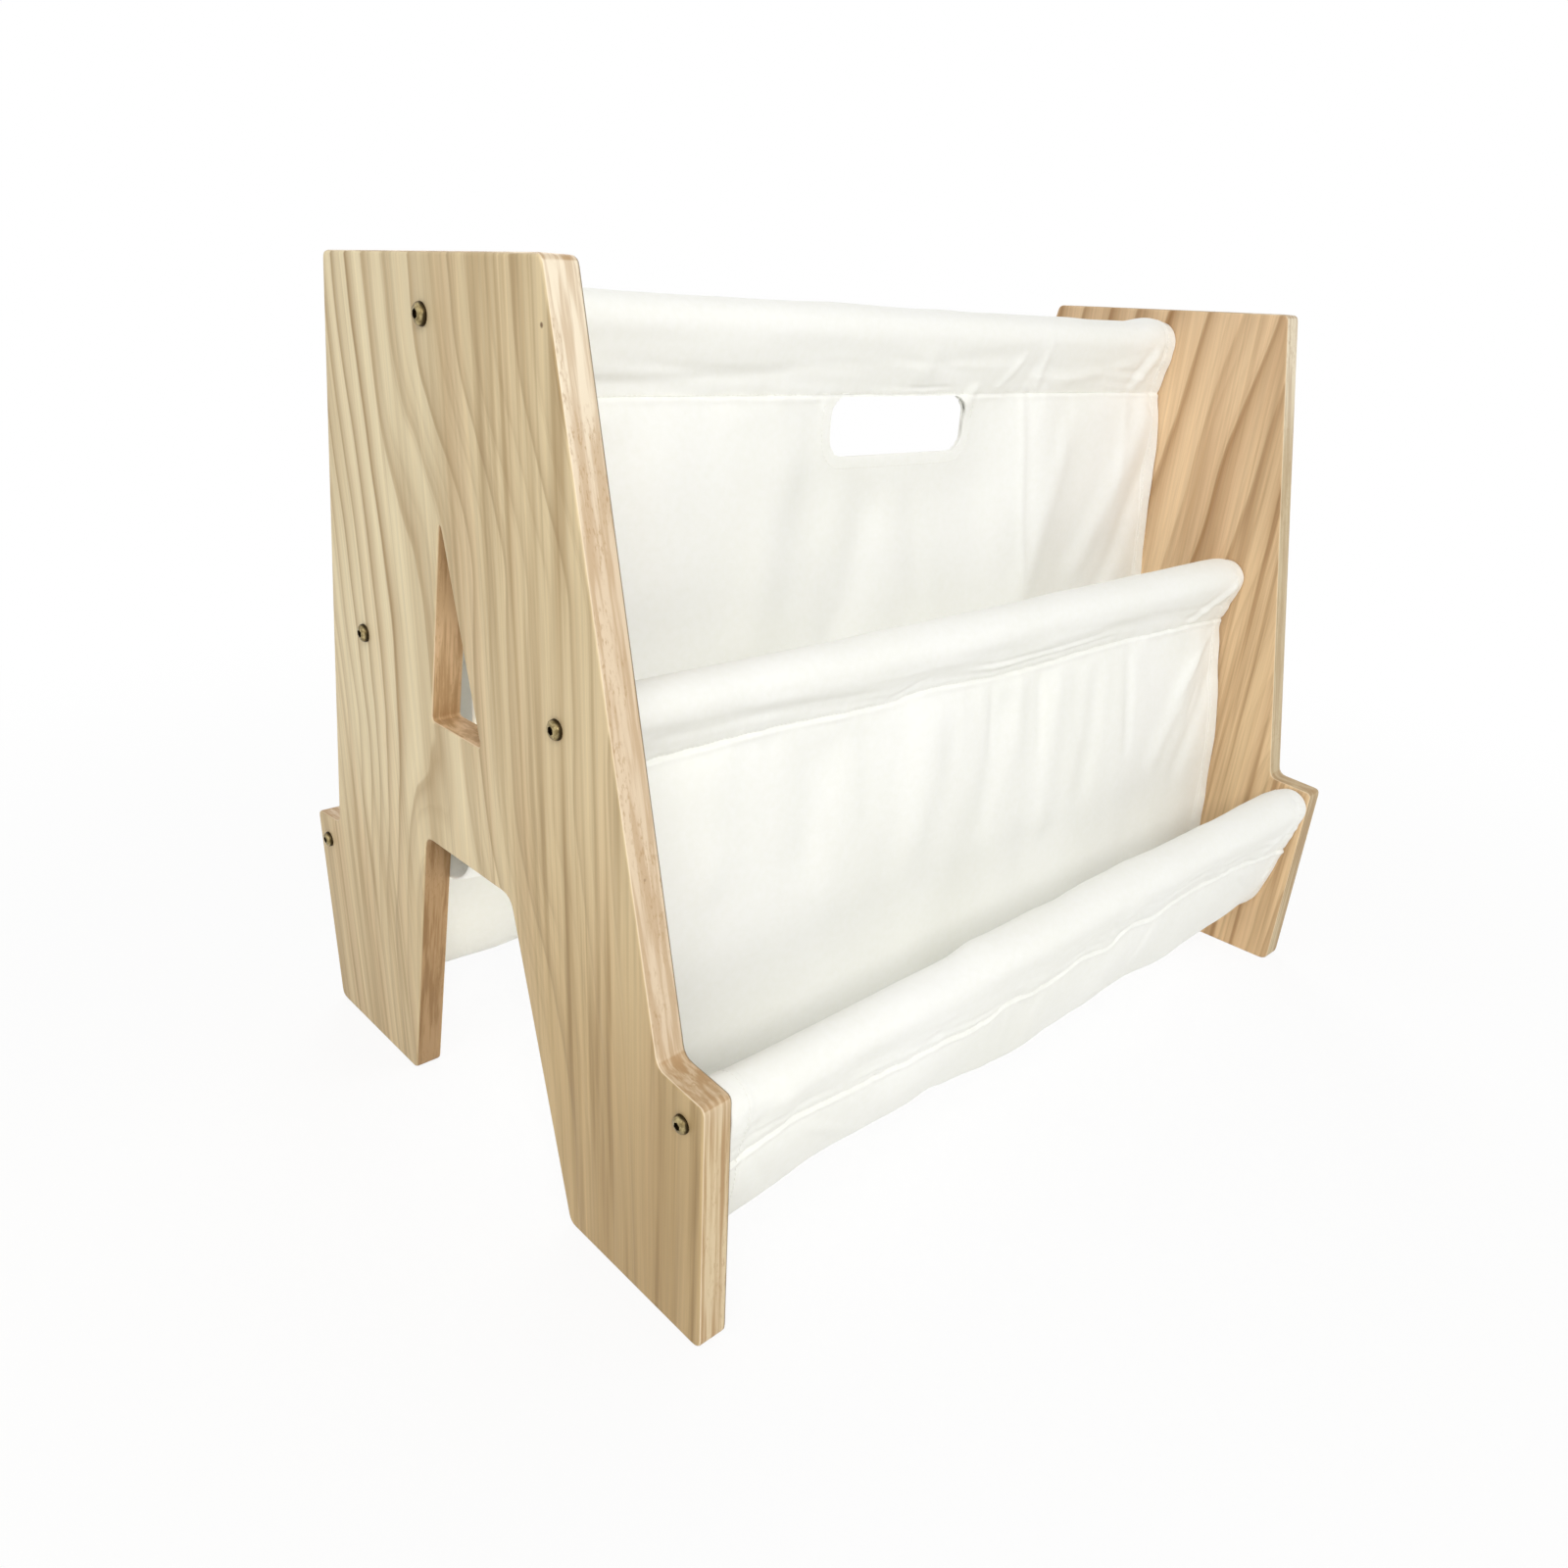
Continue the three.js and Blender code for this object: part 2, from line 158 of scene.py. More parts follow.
def add_floor():
    mesh = bpy.data.meshes.new("floor")
    reach = 6
    corners = [(-reach, -reach, 0), (reach, -reach, 0), (reach, reach, 0), (-reach, reach, 0)]
    mesh.from_pydata(corners, [], [(0, 1, 2, 3)])
    floor = bpy.data.objects.new("floor", mesh)
    bpy.context.scene.collection.objects.link(floor)
    material = bpy.data.materials.new("floor_white")
    material.use_nodes = True
    tree = material.node_tree
    tree.nodes.clear()
    matt = tree.nodes.new("ShaderNodeBsdfDiffuse")
    matt.inputs["Color"].default_value = (0.9, 0.9, 0.89, 1)
    white = tree.nodes.new("ShaderNodeEmission")
    white.inputs["Color"].default_value = (1, 1, 1, 1)
    white.inputs["Strength"].default_value = 1
    place = tree.nodes.new("ShaderNodeTexCoord")
    distance = tree.nodes.new("ShaderNodeVectorMath")
    distance.operation = "LENGTH"
    tree.links.new(place.outputs["Object"], distance.inputs[0])
    plain = tree.nodes.new("ShaderNodeMapRange")
    plain.interpolation_type = "SMOOTHSTEP"
    for key, value in (("From Min", 0.4), ("From Max", 1.3), ("To Min", 0.88), ("To Max", 1.0)):
        plain.inputs[key].default_value = value
    tree.links.new(distance.outputs["Value"], plain.inputs["Value"])
    share = tree.nodes.new("ShaderNodeMath")
    share.operation = "MULTIPLY"
    tree.links.new(plain.outputs[0], share.inputs[1])
    mix = tree.nodes.new("ShaderNodeMixShader")
    output = tree.nodes.new("ShaderNodeOutputMaterial")
    tree.links.new(seen_directly(tree), share.inputs[0])
    tree.links.new(share.outputs[0], mix.inputs[0])
    tree.links.new(matt.outputs[0], mix.inputs[1])
    tree.links.new(white.outputs[0], mix.inputs[2])
    tree.links.new(mix.outputs[0], output.inputs[0])
    mesh.materials.append(material)
    floor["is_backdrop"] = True


class Shade:
    """One material, with short calls for its nodes."""

    def __init__(self, name):
        self.material = bpy.data.materials.new(name)
        self.material.use_nodes = True
        self.tree = self.material.node_tree
        self.shader = self.tree.nodes["Principled BSDF"]

    def put(self, kind, **settings):
        node = self.tree.nodes.new(kind)
        for key, value in settings.items():
            setattr(node, key, value)
        return node

    def feed(self, socket, value):
        if isinstance(value, bpy.types.NodeSocket):
            self.tree.links.new(value, socket)
        else:
            socket.default_value = value

    def math(self, operation, a, b=0.0):
        node = self.put("ShaderNodeMath", operation=operation)
        self.feed(node.inputs[0], a)
        self.feed(node.inputs[1], b)
        return node.outputs[0]

    def add(self, a, b):
        return self.math("ADD", a, b)

    def times(self, a, b):
        return self.math("MULTIPLY", a, b)

    def vector(self, operation, a, b):
        node = self.put("ShaderNodeVectorMath", operation=operation)
        self.feed(node.inputs[0], a)
        self.feed(node.inputs[1], b)
        return node.outputs["Value"] if operation in ("LENGTH", "DISTANCE") else node.outputs[0]

    def place(self):
        return self.put("ShaderNodeTexCoord").outputs["Object"]

    def split(self, vector):
        node = self.put("ShaderNodeSeparateXYZ")
        self.feed(node.inputs[0], vector)
        return node.outputs

    def join(self, x, y, z):
        node = self.put("ShaderNodeCombineXYZ")
        for socket, value in zip(node.inputs, (x, y, z)):
            self.feed(socket, value)
        return node.outputs[0]

    def noise(self, vector, scale, detail=2.0, roughness=0.5):
        node = self.put("ShaderNodeTexNoise")
        stretched = isinstance(scale, tuple)
        self.feed(node.inputs["Vector"], self.vector("MULTIPLY", vector, scale) if stretched else vector)
        node.inputs["Scale"].default_value = 1 if stretched else scale
        node.inputs["Detail"].default_value = detail
        node.inputs["Roughness"].default_value = roughness
        return node.outputs[0]

    def smooth(self, value, low, high, to_low=0.0, to_high=1.0):
        node = self.put("ShaderNodeMapRange", interpolation_type="SMOOTHSTEP")
        names = ("Value", "From Min", "From Max", "To Min", "To Max")
        for name, setting in zip(names, (value, low, high, to_low, to_high)):
            self.feed(node.inputs[name], setting)
        return node.outputs[0]

    def ramp(self, value, *stops):
        node = self.put("ShaderNodeValToRGB")
        elements = node.color_ramp.elements
        while len(elements) < len(stops):
            elements.new(1)
        for element, (at, shade) in zip(elements, stops):
            element.position = at
            element.color = (shade, shade, shade, 1) if isinstance(shade, (int, float)) else (*shade, 1)
        self.feed(node.inputs[0], value)
        return node.outputs[0]

    def mix(self, amount, a, b, blend="MIX"):
        node = self.put("ShaderNodeMix", data_type="RGBA", blend_type=blend)
        self.feed(node.inputs[0], amount)
        for socket, value in ((node.inputs[6], a), (node.inputs[7], b)):
            self.feed(socket, (*value, 1) if isinstance(value, tuple) and len(value) == 3 else value)
        return node.outputs[2]

    def bump(self, height, distance, strength=1.0, normal=None):
        node = self.put("ShaderNodeBump")
        node.inputs["Strength"].default_value = strength
        node.inputs["Distance"].default_value = distance
        self.feed(node.inputs["Height"], height)
        if normal is not None:
            self.feed(node.inputs["Normal"], normal)
        return node.outputs[0]


def linear(red, green, blue):
    """A colour picked in display values, 0 to 255, as the linear values that a shader takes."""
    return tuple(
        value / 255 / 12.92 if value <= 10 else ((value / 255 + 0.055) / 1.055) ** 2.4 for value in (red, green, blue)
    )


def shades(*colours):
    return tuple(linear(*colour) for colour in colours)


def growth_rings(shade, place, moved, warp, spacing):
    """Rings counted across the board: level sets of one warped coordinate."""
    x, y, z = shade.split(place)
    slow = shade.noise(moved, (2.0, 9.0, 3.4), 1.0)
    wave = shade.noise(moved, (6.0, 24.0, 8.0), 2.0)
    across = warp(shade, y, z)
    across = shade.add(across, shade.times(shade.add(slow, -0.5), 0.045))
    across = shade.add(across, shade.times(shade.add(wave, -0.5), 0.013))
    across = shade.add(across, shade.times(x, 0.55))
    steep = shade.math("SQRT", shade.add(shade.times(across, across), 0.0006))
    rear, front = 1 / spacing[0], 1 / spacing[1]
    return shade.add(shade.times(across, (rear + front) / 2), shade.times(steep, (rear - front) / 2))


def ring_band(shade, rings, least, *stops):
    """The late wood's share across each ring, weaker in some rings than in others."""
    inside = shade.math("FRACT", rings)
    number = shade.math("FLOOR", rings)
    draw = shade.put("ShaderNodeTexWhiteNoise", noise_dimensions="1D")
    shade.feed(draw.inputs["W"], number)
    power = shade.smooth(draw.outputs["Value"], 0.0, 1.0, least, 1.0)
    return shade.times(shade.ramp(inside, *stops), power)


def board_face(shade, moved, z, main, fine, fibre, front_share, tones):
    """The wide face: early and late wood where front_share is 0 and then where it is 1, and a warmer blush."""
    broad = shade.noise(moved, (24.0, 58.0, 2.2), 3.0, 0.6)
    fade = shade.smooth(shade.noise(moved, (4.0, 26.0, 3.0), 1.0), 0.38, 0.6)
    strand = shade.noise(moved, (70.0, 112.0, 2.6), 3.0, 0.55)
    tone = shade.noise(moved, (5.0, 22.0, 2.0), 2.0)
    blush = shade.noise(moved, (9.0, 30.0, 1.6), 2.0)
    early = shade.mix(front_share, tones[0], tones[2])
    late = shade.mix(front_share, tones[1], tones[3])
    colour = shade.mix(shade.smooth(tone, 0.42, 0.75, 0.0, 0.45), early, late)
    colour = shade.mix(shade.smooth(blush, 0.5, 0.75, 0.0, 0.35), colour, tones[4])
    colour = shade.mix(shade.smooth(strand, 0.5, 0.25, 0.0, 0.3), colour, early)
    cloudy = shade.times(shade.smooth(broad, 0.5, 0.72), shade.smooth(front_share, 0.0, 1.0, 0.25, 0.8))
    colour = shade.mix(cloudy, colour, late)
    faded = shade.math("MAXIMUM", shade.math("SUBTRACT", 1.0, front_share), shade.times(fade, 0.45))
    colour = shade.mix(shade.times(main, faded), colour, late)
    colour = shade.mix(shade.times(fine, shade.smooth(tone, 0.35, 0.6, 0.08, 0.2)), colour, late)
    clear = shade.times(
        shade.smooth(front_share, 0.0, 0.6, 0.4, 1.0), shade.smooth(blush, 0.36, 0.6, 0.55, 1.0)
    )
    colour = shade.mix(shade.times(shade.smooth(strand, 0.48, 0.72, 0.0, 0.75), clear), colour, late)
    # Darker towards the bottom of the board, more so towards the front
    lower_darkening = shade.times(shade.smooth(z, 0.2, 0.03, 0.0, 0.14), shade.smooth(front_share, 0.0, 1.0, 0.45, 1.0))
    colour = shade.mix(lower_darkening, colour, late)
    grain = shade.smooth(fibre, 0.3, 0.75, 0.91, 1.04)
    return shade.mix(1.0, colour, shade.join(grain, grain, grain), "MULTIPLY")


def cut_face(shade, moved, z, facing, upward, outer, cut_tones):
    """The sawn faces: pale and flecked on the outline's upper edges, streaked on the feet and in the holes, with a
    painted highlight along the rounded arrises and painted shade on the walls of the leg notch and towards the
    triangle's tip.
    """
    pale, inner, low, dark = cut_tones
    fleck = shade.noise(moved, (760.0, 760.0, 150.0), 3.0, 0.65)
    patch = shade.noise(moved, (60.0, 60.0, 14.0), 2.0)
    streak = shade.noise(moved, (240.0, 60.0, 7.0), 3.0, 0.6)
    edge = shade.mix(shade.smooth(z, 0.38, 0.48, 0.0, 0.6), pale, linear(248, 238, 216))
    cut = shade.mix(outer, inner, edge)
    foot = shade.times(shade.smooth(z, 0.175, 0.13), outer)
    cut = shade.mix(foot, cut, low)
    # The cut faces in the board's middle (hole and notch walls): streaked, and carrying the painted shade below
    middle_cuts = shade.math("SUBTRACT", 1.0, outer)
    heavy = shade.math("MAXIMUM", foot, middle_cuts)
    streaks = shade.times(shade.smooth(streak, 0.42, 0.62), shade.smooth(heavy, 0.0, 1.0, 0.5, 0.9))
    cut = shade.mix(streaks, cut, dark)
    flecks = shade.times(shade.smooth(fleck, 0.5, 0.7), shade.smooth(patch, 0.4, 0.6))
    cut = shade.mix(shade.times(flecks, 0.6), cut, dark)
    top = shade.times(shade.smooth(upward, 0.4, 0.6), shade.smooth(streak, 0.35, 0.6, 0.3, 0.8))
    cut = shade.mix(shade.times(top, outer), cut, dark)
    # Painted highlight: a paler band on the rounded arrises, where the face turns between the cut and the wide face
    arris_painted_highlight = shade.times(shade.smooth(facing, 0.3, 0.6), shade.smooth(facing, 0.97, 0.85))
    cut = shade.mix(shade.times(arris_painted_highlight, 0.6), cut, linear(252, 236, 206))
    # Painted shade: the walls in the leg notch, below z 0.19 to 0.215, are multiplied darker
    notch_painted_shade = shade.times(shade.smooth(z, 0.215, 0.19), middle_cuts)
    cut = shade.mix(notch_painted_shade, cut, (0.60, 0.54, 0.45), "MULTIPLY")
    # Painted shade: the middle cut faces are multiplied darker upwards from z 0.315, over the triangle's walls towards
    # its tip
    tip_painted_shade = shade.times(shade.smooth(z, 0.315, 0.352), middle_cuts)
    return shade.mix(tip_painted_shade, cut, (0.78, 0.75, 0.68), "MULTIPLY")


def pine(name, warp, zone, spacing, tones, cut_tones, shift, marks=(), line=None):
    """Flat-sawn pine. Its growth rings run up the board, and its sawn faces show their cut fibres.

    spacing is the rings' width at the rear and at the front. tones holds the early and the late wood
    where zone is 0 and then where it is 1, and the blush. cut_tones holds the sawn faces: pale, inner,
    low and fleck. line is the side along X and the two places between which a painted shadow line comes
    in along the cut faces. marks are small dark specks.
    """
    shade = Shade(name)
    place = shade.place()
    moved = shade.vector("ADD", place, shift)
    x, y, z = shade.split(place)
    rings = growth_rings(shade, place, moved, warp, spacing)
    late_wood = (0, 0.12), (0.2, 0.0), (0.5, 0.18), (0.78, 0.6), (0.9, 1.0), (0.96, 0.8), (1, 0.12)
    main = ring_band(shade, rings, 0.4, *late_wood)
    finer = shade.add(shade.times(rings, 3.3), 0.4)
    fine = ring_band(shade, finer, 0.0, (0, 0.05), (0.4, 0.1), (0.85, 0.9), (1, 0.05))
    fibre = shade.noise(moved, (260.0, 620.0, 5.5), 3.0, 0.6)
    colour = board_face(shade, moved, z, main, fine, fibre, zone(shade, y, z), tones)

    normal = shade.split(shade.put("ShaderNodeTexCoord").outputs["Normal"])
    facing = shade.math("ABSOLUTE", normal[0])
    widening = shade.times(shade.math("MAXIMUM", shade.math("SUBTRACT", 0.2, z), 0.0), 0.244)
    outer = shade.smooth(shade.math("SUBTRACT", shade.math("ABSOLUTE", y), widening), 0.055, 0.075)
    cut = cut_face(shade, moved, z, facing, normal[2], outer, cut_tones)
    colour = shade.mix(shade.smooth(facing, 0.85, 0.55), colour, cut)
    # Painted shadow: a dark line along one arris of the front edges, between two places along X
    if line:
        side, start, end = line
        arris_painted_shadow = shade.times(shade.smooth(shade.times(x, side), start, end), shade.smooth(facing, 0.05, 0.3))
        colour = shade.mix(shade.times(shade.times(arris_painted_shadow, outer), 0.75), colour, linear(118, 100, 78))
    for mark in marks:
        near = shade.vector("DISTANCE", place, mark)
        colour = shade.mix(shade.smooth(near, 0.0015, 0.0005, 0.0, 0.85), colour, linear(105, 70, 42))

    shade.feed(shade.shader.inputs["Base Color"], colour)
    shade.feed(shade.shader.inputs["Roughness"], shade.smooth(main, 0.0, 1.0, 0.54, 0.44))
    shade.shader.inputs["Specular IOR Level"].default_value = 0.3
    relief = shade.add(shade.times(fibre, 0.5), shade.times(main, 0.6))
    shade.feed(shade.shader.inputs["Normal"], shade.bump(relief, 0.00025, 0.5))
    return shade.material


# Specks on the left board's edge and beside it
NEAR_MARKS = (
    (-0.320, -0.1138, 0.4297), (-0.318, -0.1205, 0.388), (-0.320, -0.1395, 0.2945),
    (-0.321, -0.1575, 0.250), (-0.329, -0.099, 0.4747),
)


def near_warp(shade, y, z):
    """The left board: lines swing towards the front below its top and fan out into both legs."""
    swing = shade.times(shade.smooth(z, 0.475, 0.36), shade.smooth(y, 0.07, -0.03))
    side = shade.math("DIVIDE", y, shade.math("SQRT", shade.add(shade.times(y, y), 0.0012)))
    legs = shade.times(shade.smooth(z, 0.27, 0.06), shade.smooth(shade.math("ABSOLUTE", y), 0.19, 0.10))
    fan = shade.times(shade.times(side, legs), -0.055)
    return shade.add(shade.add(y, shade.times(swing, 0.040)), fan)


def near_zone(shade, y, z):
    """Browner wood from the middle of the board forward, most of all in the front leg, less in the rear leg."""
    forward = shade.smooth(shade.add(y, shade.times(z, -0.12)), -0.025, -0.105)
    low = shade.smooth(z, 0.34, 0.10, 0.48, 1.0)
    behind = shade.smooth(z, 0.27, 0.12, 0.0, 0.55)
    return shade.math("MAXIMUM", shade.times(forward, low), behind)


def far_warp(shade, y, z):
    """The right board: lines lean back towards the top and close in towards the front edge."""
    low = shade.times(shade.smooth(z, 0.30, 0.14), shade.smooth(y, -0.10, -0.16))
    lean = shade.times(shade.add(z, -0.25), 0.10)
    return shade.add(shade.add(y, shade.times(low, -0.020)), lean)


def far_zone(shade, y, z):
    return shade.smooth(y, -0.06, -0.16)


def rail_warp(shade, y, z):
    return shade.times(shade.add(y, z), 0.8)


def make_woods():
    near = pine(
        "pine_near", near_warp, near_zone, (0.025, 0.0165),
        shades((247, 231, 192), (174, 143, 96), (214, 186, 138), (148, 116, 68), (222, 188, 146)),
        shades((222, 201, 172), (214, 182, 142), (217, 196, 159), (176, 141, 98)),
        (1.7, 0.35, 2.4), NEAR_MARKS, (-1, 0.3129, 0.3122),
    )
    far = pine(
        "pine_far", far_warp, far_zone, (0.027, 0.0125),
        shades((242, 211, 170), (168, 127, 84), (234, 203, 159), (156, 116, 73), (226, 186, 146)),
        shades((205, 187, 152), (204, 174, 130), (201, 181, 143), (172, 142, 102)),
        (4.2, 1.15, 0.8), line=(1, 0.3286, 0.3293),
    )
    rail = pine(
        "pine_rail", rail_warp, far_zone, (0.009, 0.009),
        shades((230, 208, 168), (192, 158, 112), (230, 208, 168), (192, 158, 112), (226, 196, 156)),
        shades((232, 206, 168), (232, 206, 168), (226, 198, 160), (196, 156, 116)),
        (0.6, 2.1, 5.2),
    )
    return near, far, rail


def aged_brass():
    shade = Shade("aged_brass")
    place = shade.place()
    blotch = shade.noise(place, 420.0, 3.0, 0.6)
    scratch = shade.noise(place, (2600.0, 900.0, 2600.0), 2.0)
    colour = shade.mix(shade.smooth(blotch, 0.35, 0.7), linear(124, 108, 72), linear(190, 172, 126))
    colour = shade.mix(shade.smooth(scratch, 0.6, 0.8, 0.0, 0.4), colour, linear(214, 198, 156))
    facing = shade.math("ABSOLUTE", shade.split(shade.put("ShaderNodeTexCoord").outputs["Normal"])[0])
    colour = shade.mix(shade.smooth(facing, 0.72, 0.35), colour, linear(58, 48, 30))
    shade.feed(shade.shader.inputs["Base Color"], colour)
    shade.shader.inputs["Metallic"].default_value = 1
    shade.feed(shade.shader.inputs["Roughness"], shade.smooth(blotch, 0.3, 0.75, 0.42, 0.27))
    shade.feed(shade.shader.inputs["Normal"], shade.bump(scratch, 0.00004, 0.35))
    return shade.material


def zinc():
    shade = Shade("zinc_plate")
    place = shade.place()
    spangle = shade.noise(place, 700.0, 2.0)
    shade.feed(shade.shader.inputs["Base Color"], shade.mix(spangle, linear(176, 178, 182), linear(206, 208, 210)))
    shade.shader.inputs["Metallic"].default_value = 1
    shade.feed(shade.shader.inputs["Roughness"], shade.smooth(spangle, 0.3, 0.7, 0.36, 0.24))
    shade.feed(shade.shader.inputs["Normal"], shade.bump(spangle, 0.00005, 0.3))
    return shade.material


def canvas(name, colour_high, colour_low, thread=False):
    shade = Shade(name)
    place = shade.place()
    x, y, z = shade.split(place)
    pitch = 2 * math.pi / 0.0007
    warp = shade.math("SINE", shade.times(x, pitch))
    run = shade.math("SINE", shade.times(shade.add(z, shade.times(y, 0.8)), pitch))
    weave = shade.times(shade.times(warp, run), 0.5)
    slub = shade.noise(place, (900.0, 300.0, 60.0), 2.0)
    cloud = shade.noise(place, (9.0, 9.0, 7.0), 2.0)
    mottle = shade.noise(place, 240.0, 3.0, 0.65)
    amount = shade.add(shade.times(cloud, 0.55), shade.times(mottle, 0.45))
    colour = shade.mix(shade.smooth(amount, 0.3, 0.7), colour_low, colour_high)
    shade.feed(shade.shader.inputs["Base Color"], colour)
    shade.shader.inputs["Roughness"].default_value = 0.86
    shade.shader.inputs["Specular IOR Level"].default_value = 0.18
    shade.shader.inputs["Sheen Weight"].default_value = 0.12
    shade.shader.inputs["Sheen Roughness"].default_value = 0.5
    height = shade.add(weave, shade.times(slub, 0.8))
    first = shade.bump(height, 0.00009, 0.2 if thread else 0.35)
    shade.feed(shade.shader.inputs["Normal"], shade.bump(mottle, 0.0004, 0.22, first))
    return shade.material


# The cloth in metres: its thickness, the pitch of two sewn layers, half its width, then the seams, the pockets
# between them as shares of span and height, the hand hole, the side hems and the stitches
THICK = 0.0012
PITCH = 0.0015
HALF = 0.3107
RAIL_RADIUS, SEAT_GAP = 0.0125, 0.0003
TOP_DROP = 0.035
TOP_FORWARD, TOP_END_FORWARD = 0.004, 0.008
MID_DROP, MID_FORWARD = 0.029, 0.0045
LOW_DROP, LOW_FORWARD = 0.031, 0.006
UPPER_DEPTH, UPPER_SAG = 0.147, 0.006
LOWER_DEPTH = 0.102
UPPER_FALL = ((0.055, 0.93), (0.105, 0.81), (0.18, 0.48), (0.26, 0.22), (0.36, 0.06))
UPPER_RISE = ((0.75, 0.08), (0.89, 0.35), (0.965, 0.7))
UPPER_BOTTOM = 0.55
LOWER_FALL = ((0.09, 0.8), (0.17, 0.55), (0.24, 0.25), (0.31, 0.1), (0.42, 0.02))
LOWER_RISE = ((0.74, 0.06), (0.87, 0.22), (0.97, 0.62))
LOWER_BOTTOM = 0.58
UPPER_FOLDS = ((0.28, 0.07, 0.5), (0.7, 0.06, 0.9), (0.83, 0.05, -0.7), (0.93, 0.04, 0.6))
LOWER_FOLDS = ((0.2, 0.08, 0.6), (0.45, 0.07, -0.5), (0.66, 0.06, 0.8), (0.85, 0.06, -0.7))
FOLD_DEPTH = 0.008
HOLE_HALF, HOLE_HEIGHT, HOLE_RADIUS, HOLE_DROP = 0.065, 0.035, 0.012, 0.001
HOLE_HEM, HOLE_FADE = 0.012, 0.080
SIDE_HEM = 0.014
STITCH, STITCH_STEP = 0.0023, 0.0033
HANG_STEPS, WRAP_STEPS = 24, 60

# Along the rails: how far a seam wanders up, how slack a sleeve lies on its rail, how high the front pocket hangs
MID_SEAM = (
    (-0.31, 0.004), (-0.22, 0.005), (-0.10, 0.0015), (-0.068, 0.0035), (0.02, 0.0), (0.137, 0.002),
    (0.25, 0.0005), (0.31, -0.001),
)
LOW_SEAM = (
    (-0.31, -0.004), (-0.257, 0.004), (-0.2, 0.0), (-0.15, -0.0025), (-0.10, -0.006), (-0.07, -0.001),
    (-0.035, -0.004), (0.01, 0.0015), (0.043, -0.002), (0.067, 0.006), (0.095, 0.002), (0.145, 0.0075),
    (0.22, 0.006), (0.285, -0.001), (0.31, -0.004),
)
TOP_SLACK = ((-0.31, 0.001), (-0.27, 0.0003), (0.25, 0.0003), (0.288, 0.0034), (0.31, 0.0008))
MID_SLACK = ((-0.31, 0.0), (-0.05, 0.0004), (0.05, 0.0015), (0.15, 0.0024), (0.29, 0.0028), (0.31, 0.0008))
LOW_SLACK = (
    (-0.31, 0.0), (-0.125, 0.0002), (-0.095, 0.0026), (-0.02, 0.0022), (0.03, 0.0042), (0.07, 0.004), (0.14, 0.0026),
    (0.22, 0.0034), (0.285, 0.0038), (0.31, 0.0006),
)
LOW_BOTTOM = (
    (-0.31, 0.003), (-0.22, 0.006), (-0.13, 0.007), (-0.06, -0.005), (-0.01, -0.0075), (0.045, -0.002), (0.08, -0.003),
    (0.164, -0.0055), (0.224, -0.0025), (0.31, 0.001),
)

# Creases: where each starts and ends, as place along the rail and height over the seam, its width and its depth
TOP_CREASES = (
    ((0.0976, 0.005), (0.118, 0.027), 0.0032, 0.0014), ((0.1417, 0.005), (0.144, 0.036), 0.0038, 0.0013),
    ((0.128, 0.004), (0.133, 0.030), 0.005, -0.0009), ((0.215, 0.008), (0.240, 0.034), 0.012, -0.0010),
    ((0.2613, 0.006), (0.2809, 0.035), 0.0038, -0.0013), ((0.271, 0.004), (0.292, 0.034), 0.0045, 0.0016),
    ((0.1287, -0.004), (0.1313, -0.125), 0.0032, 0.0012), ((0.136, -0.006), (0.139, -0.110), 0.005, -0.0008),
    ((0.1788, -0.010), (0.1642, -0.047), 0.010, -0.0015), ((0.010, 0.008), (0.022, 0.024), 0.009, 0.0017),
    ((0.005, 0.0042), (0.041, 0.0046), 0.0013, -0.0010), ((0.066, -0.004), (0.074, 0.006), 0.004, 0.0018),
    ((-0.20, -0.02), (-0.19, -0.16), 0.020, 0.0012), ((0.02, -0.06), (0.015, -0.15), 0.014, -0.0012),
    ((-0.05, -0.05), (-0.06, -0.13), 0.012, 0.0010), ((0.262, -0.004), (0.252, -0.070), 0.006, 0.0010),
    ((0.292, -0.012), (0.205, -0.135), 0.013, 0.0030), ((0.300, -0.050), (0.238, -0.160), 0.012, -0.0028),
    ((0.180, -0.030), (0.128, -0.150), 0.014, 0.0026), ((-0.02, -0.060), (-0.075, -0.160), 0.018, -0.0032),
    ((-0.10, -0.030), (-0.150, -0.150), 0.020, 0.0030), ((-0.24, -0.020), (-0.215, -0.140), 0.018, -0.0026),
    ((-0.26, 0.006), (-0.10, 0.014), 0.004, -0.0012), ((-0.30, 0.016), (-0.18, 0.010), 0.004, 0.0011),
    ((0.165, 0.008), (0.255, 0.020), 0.004, 0.0010), ((0.02, 0.020), (0.12, 0.028), 0.0045, -0.0010),
)
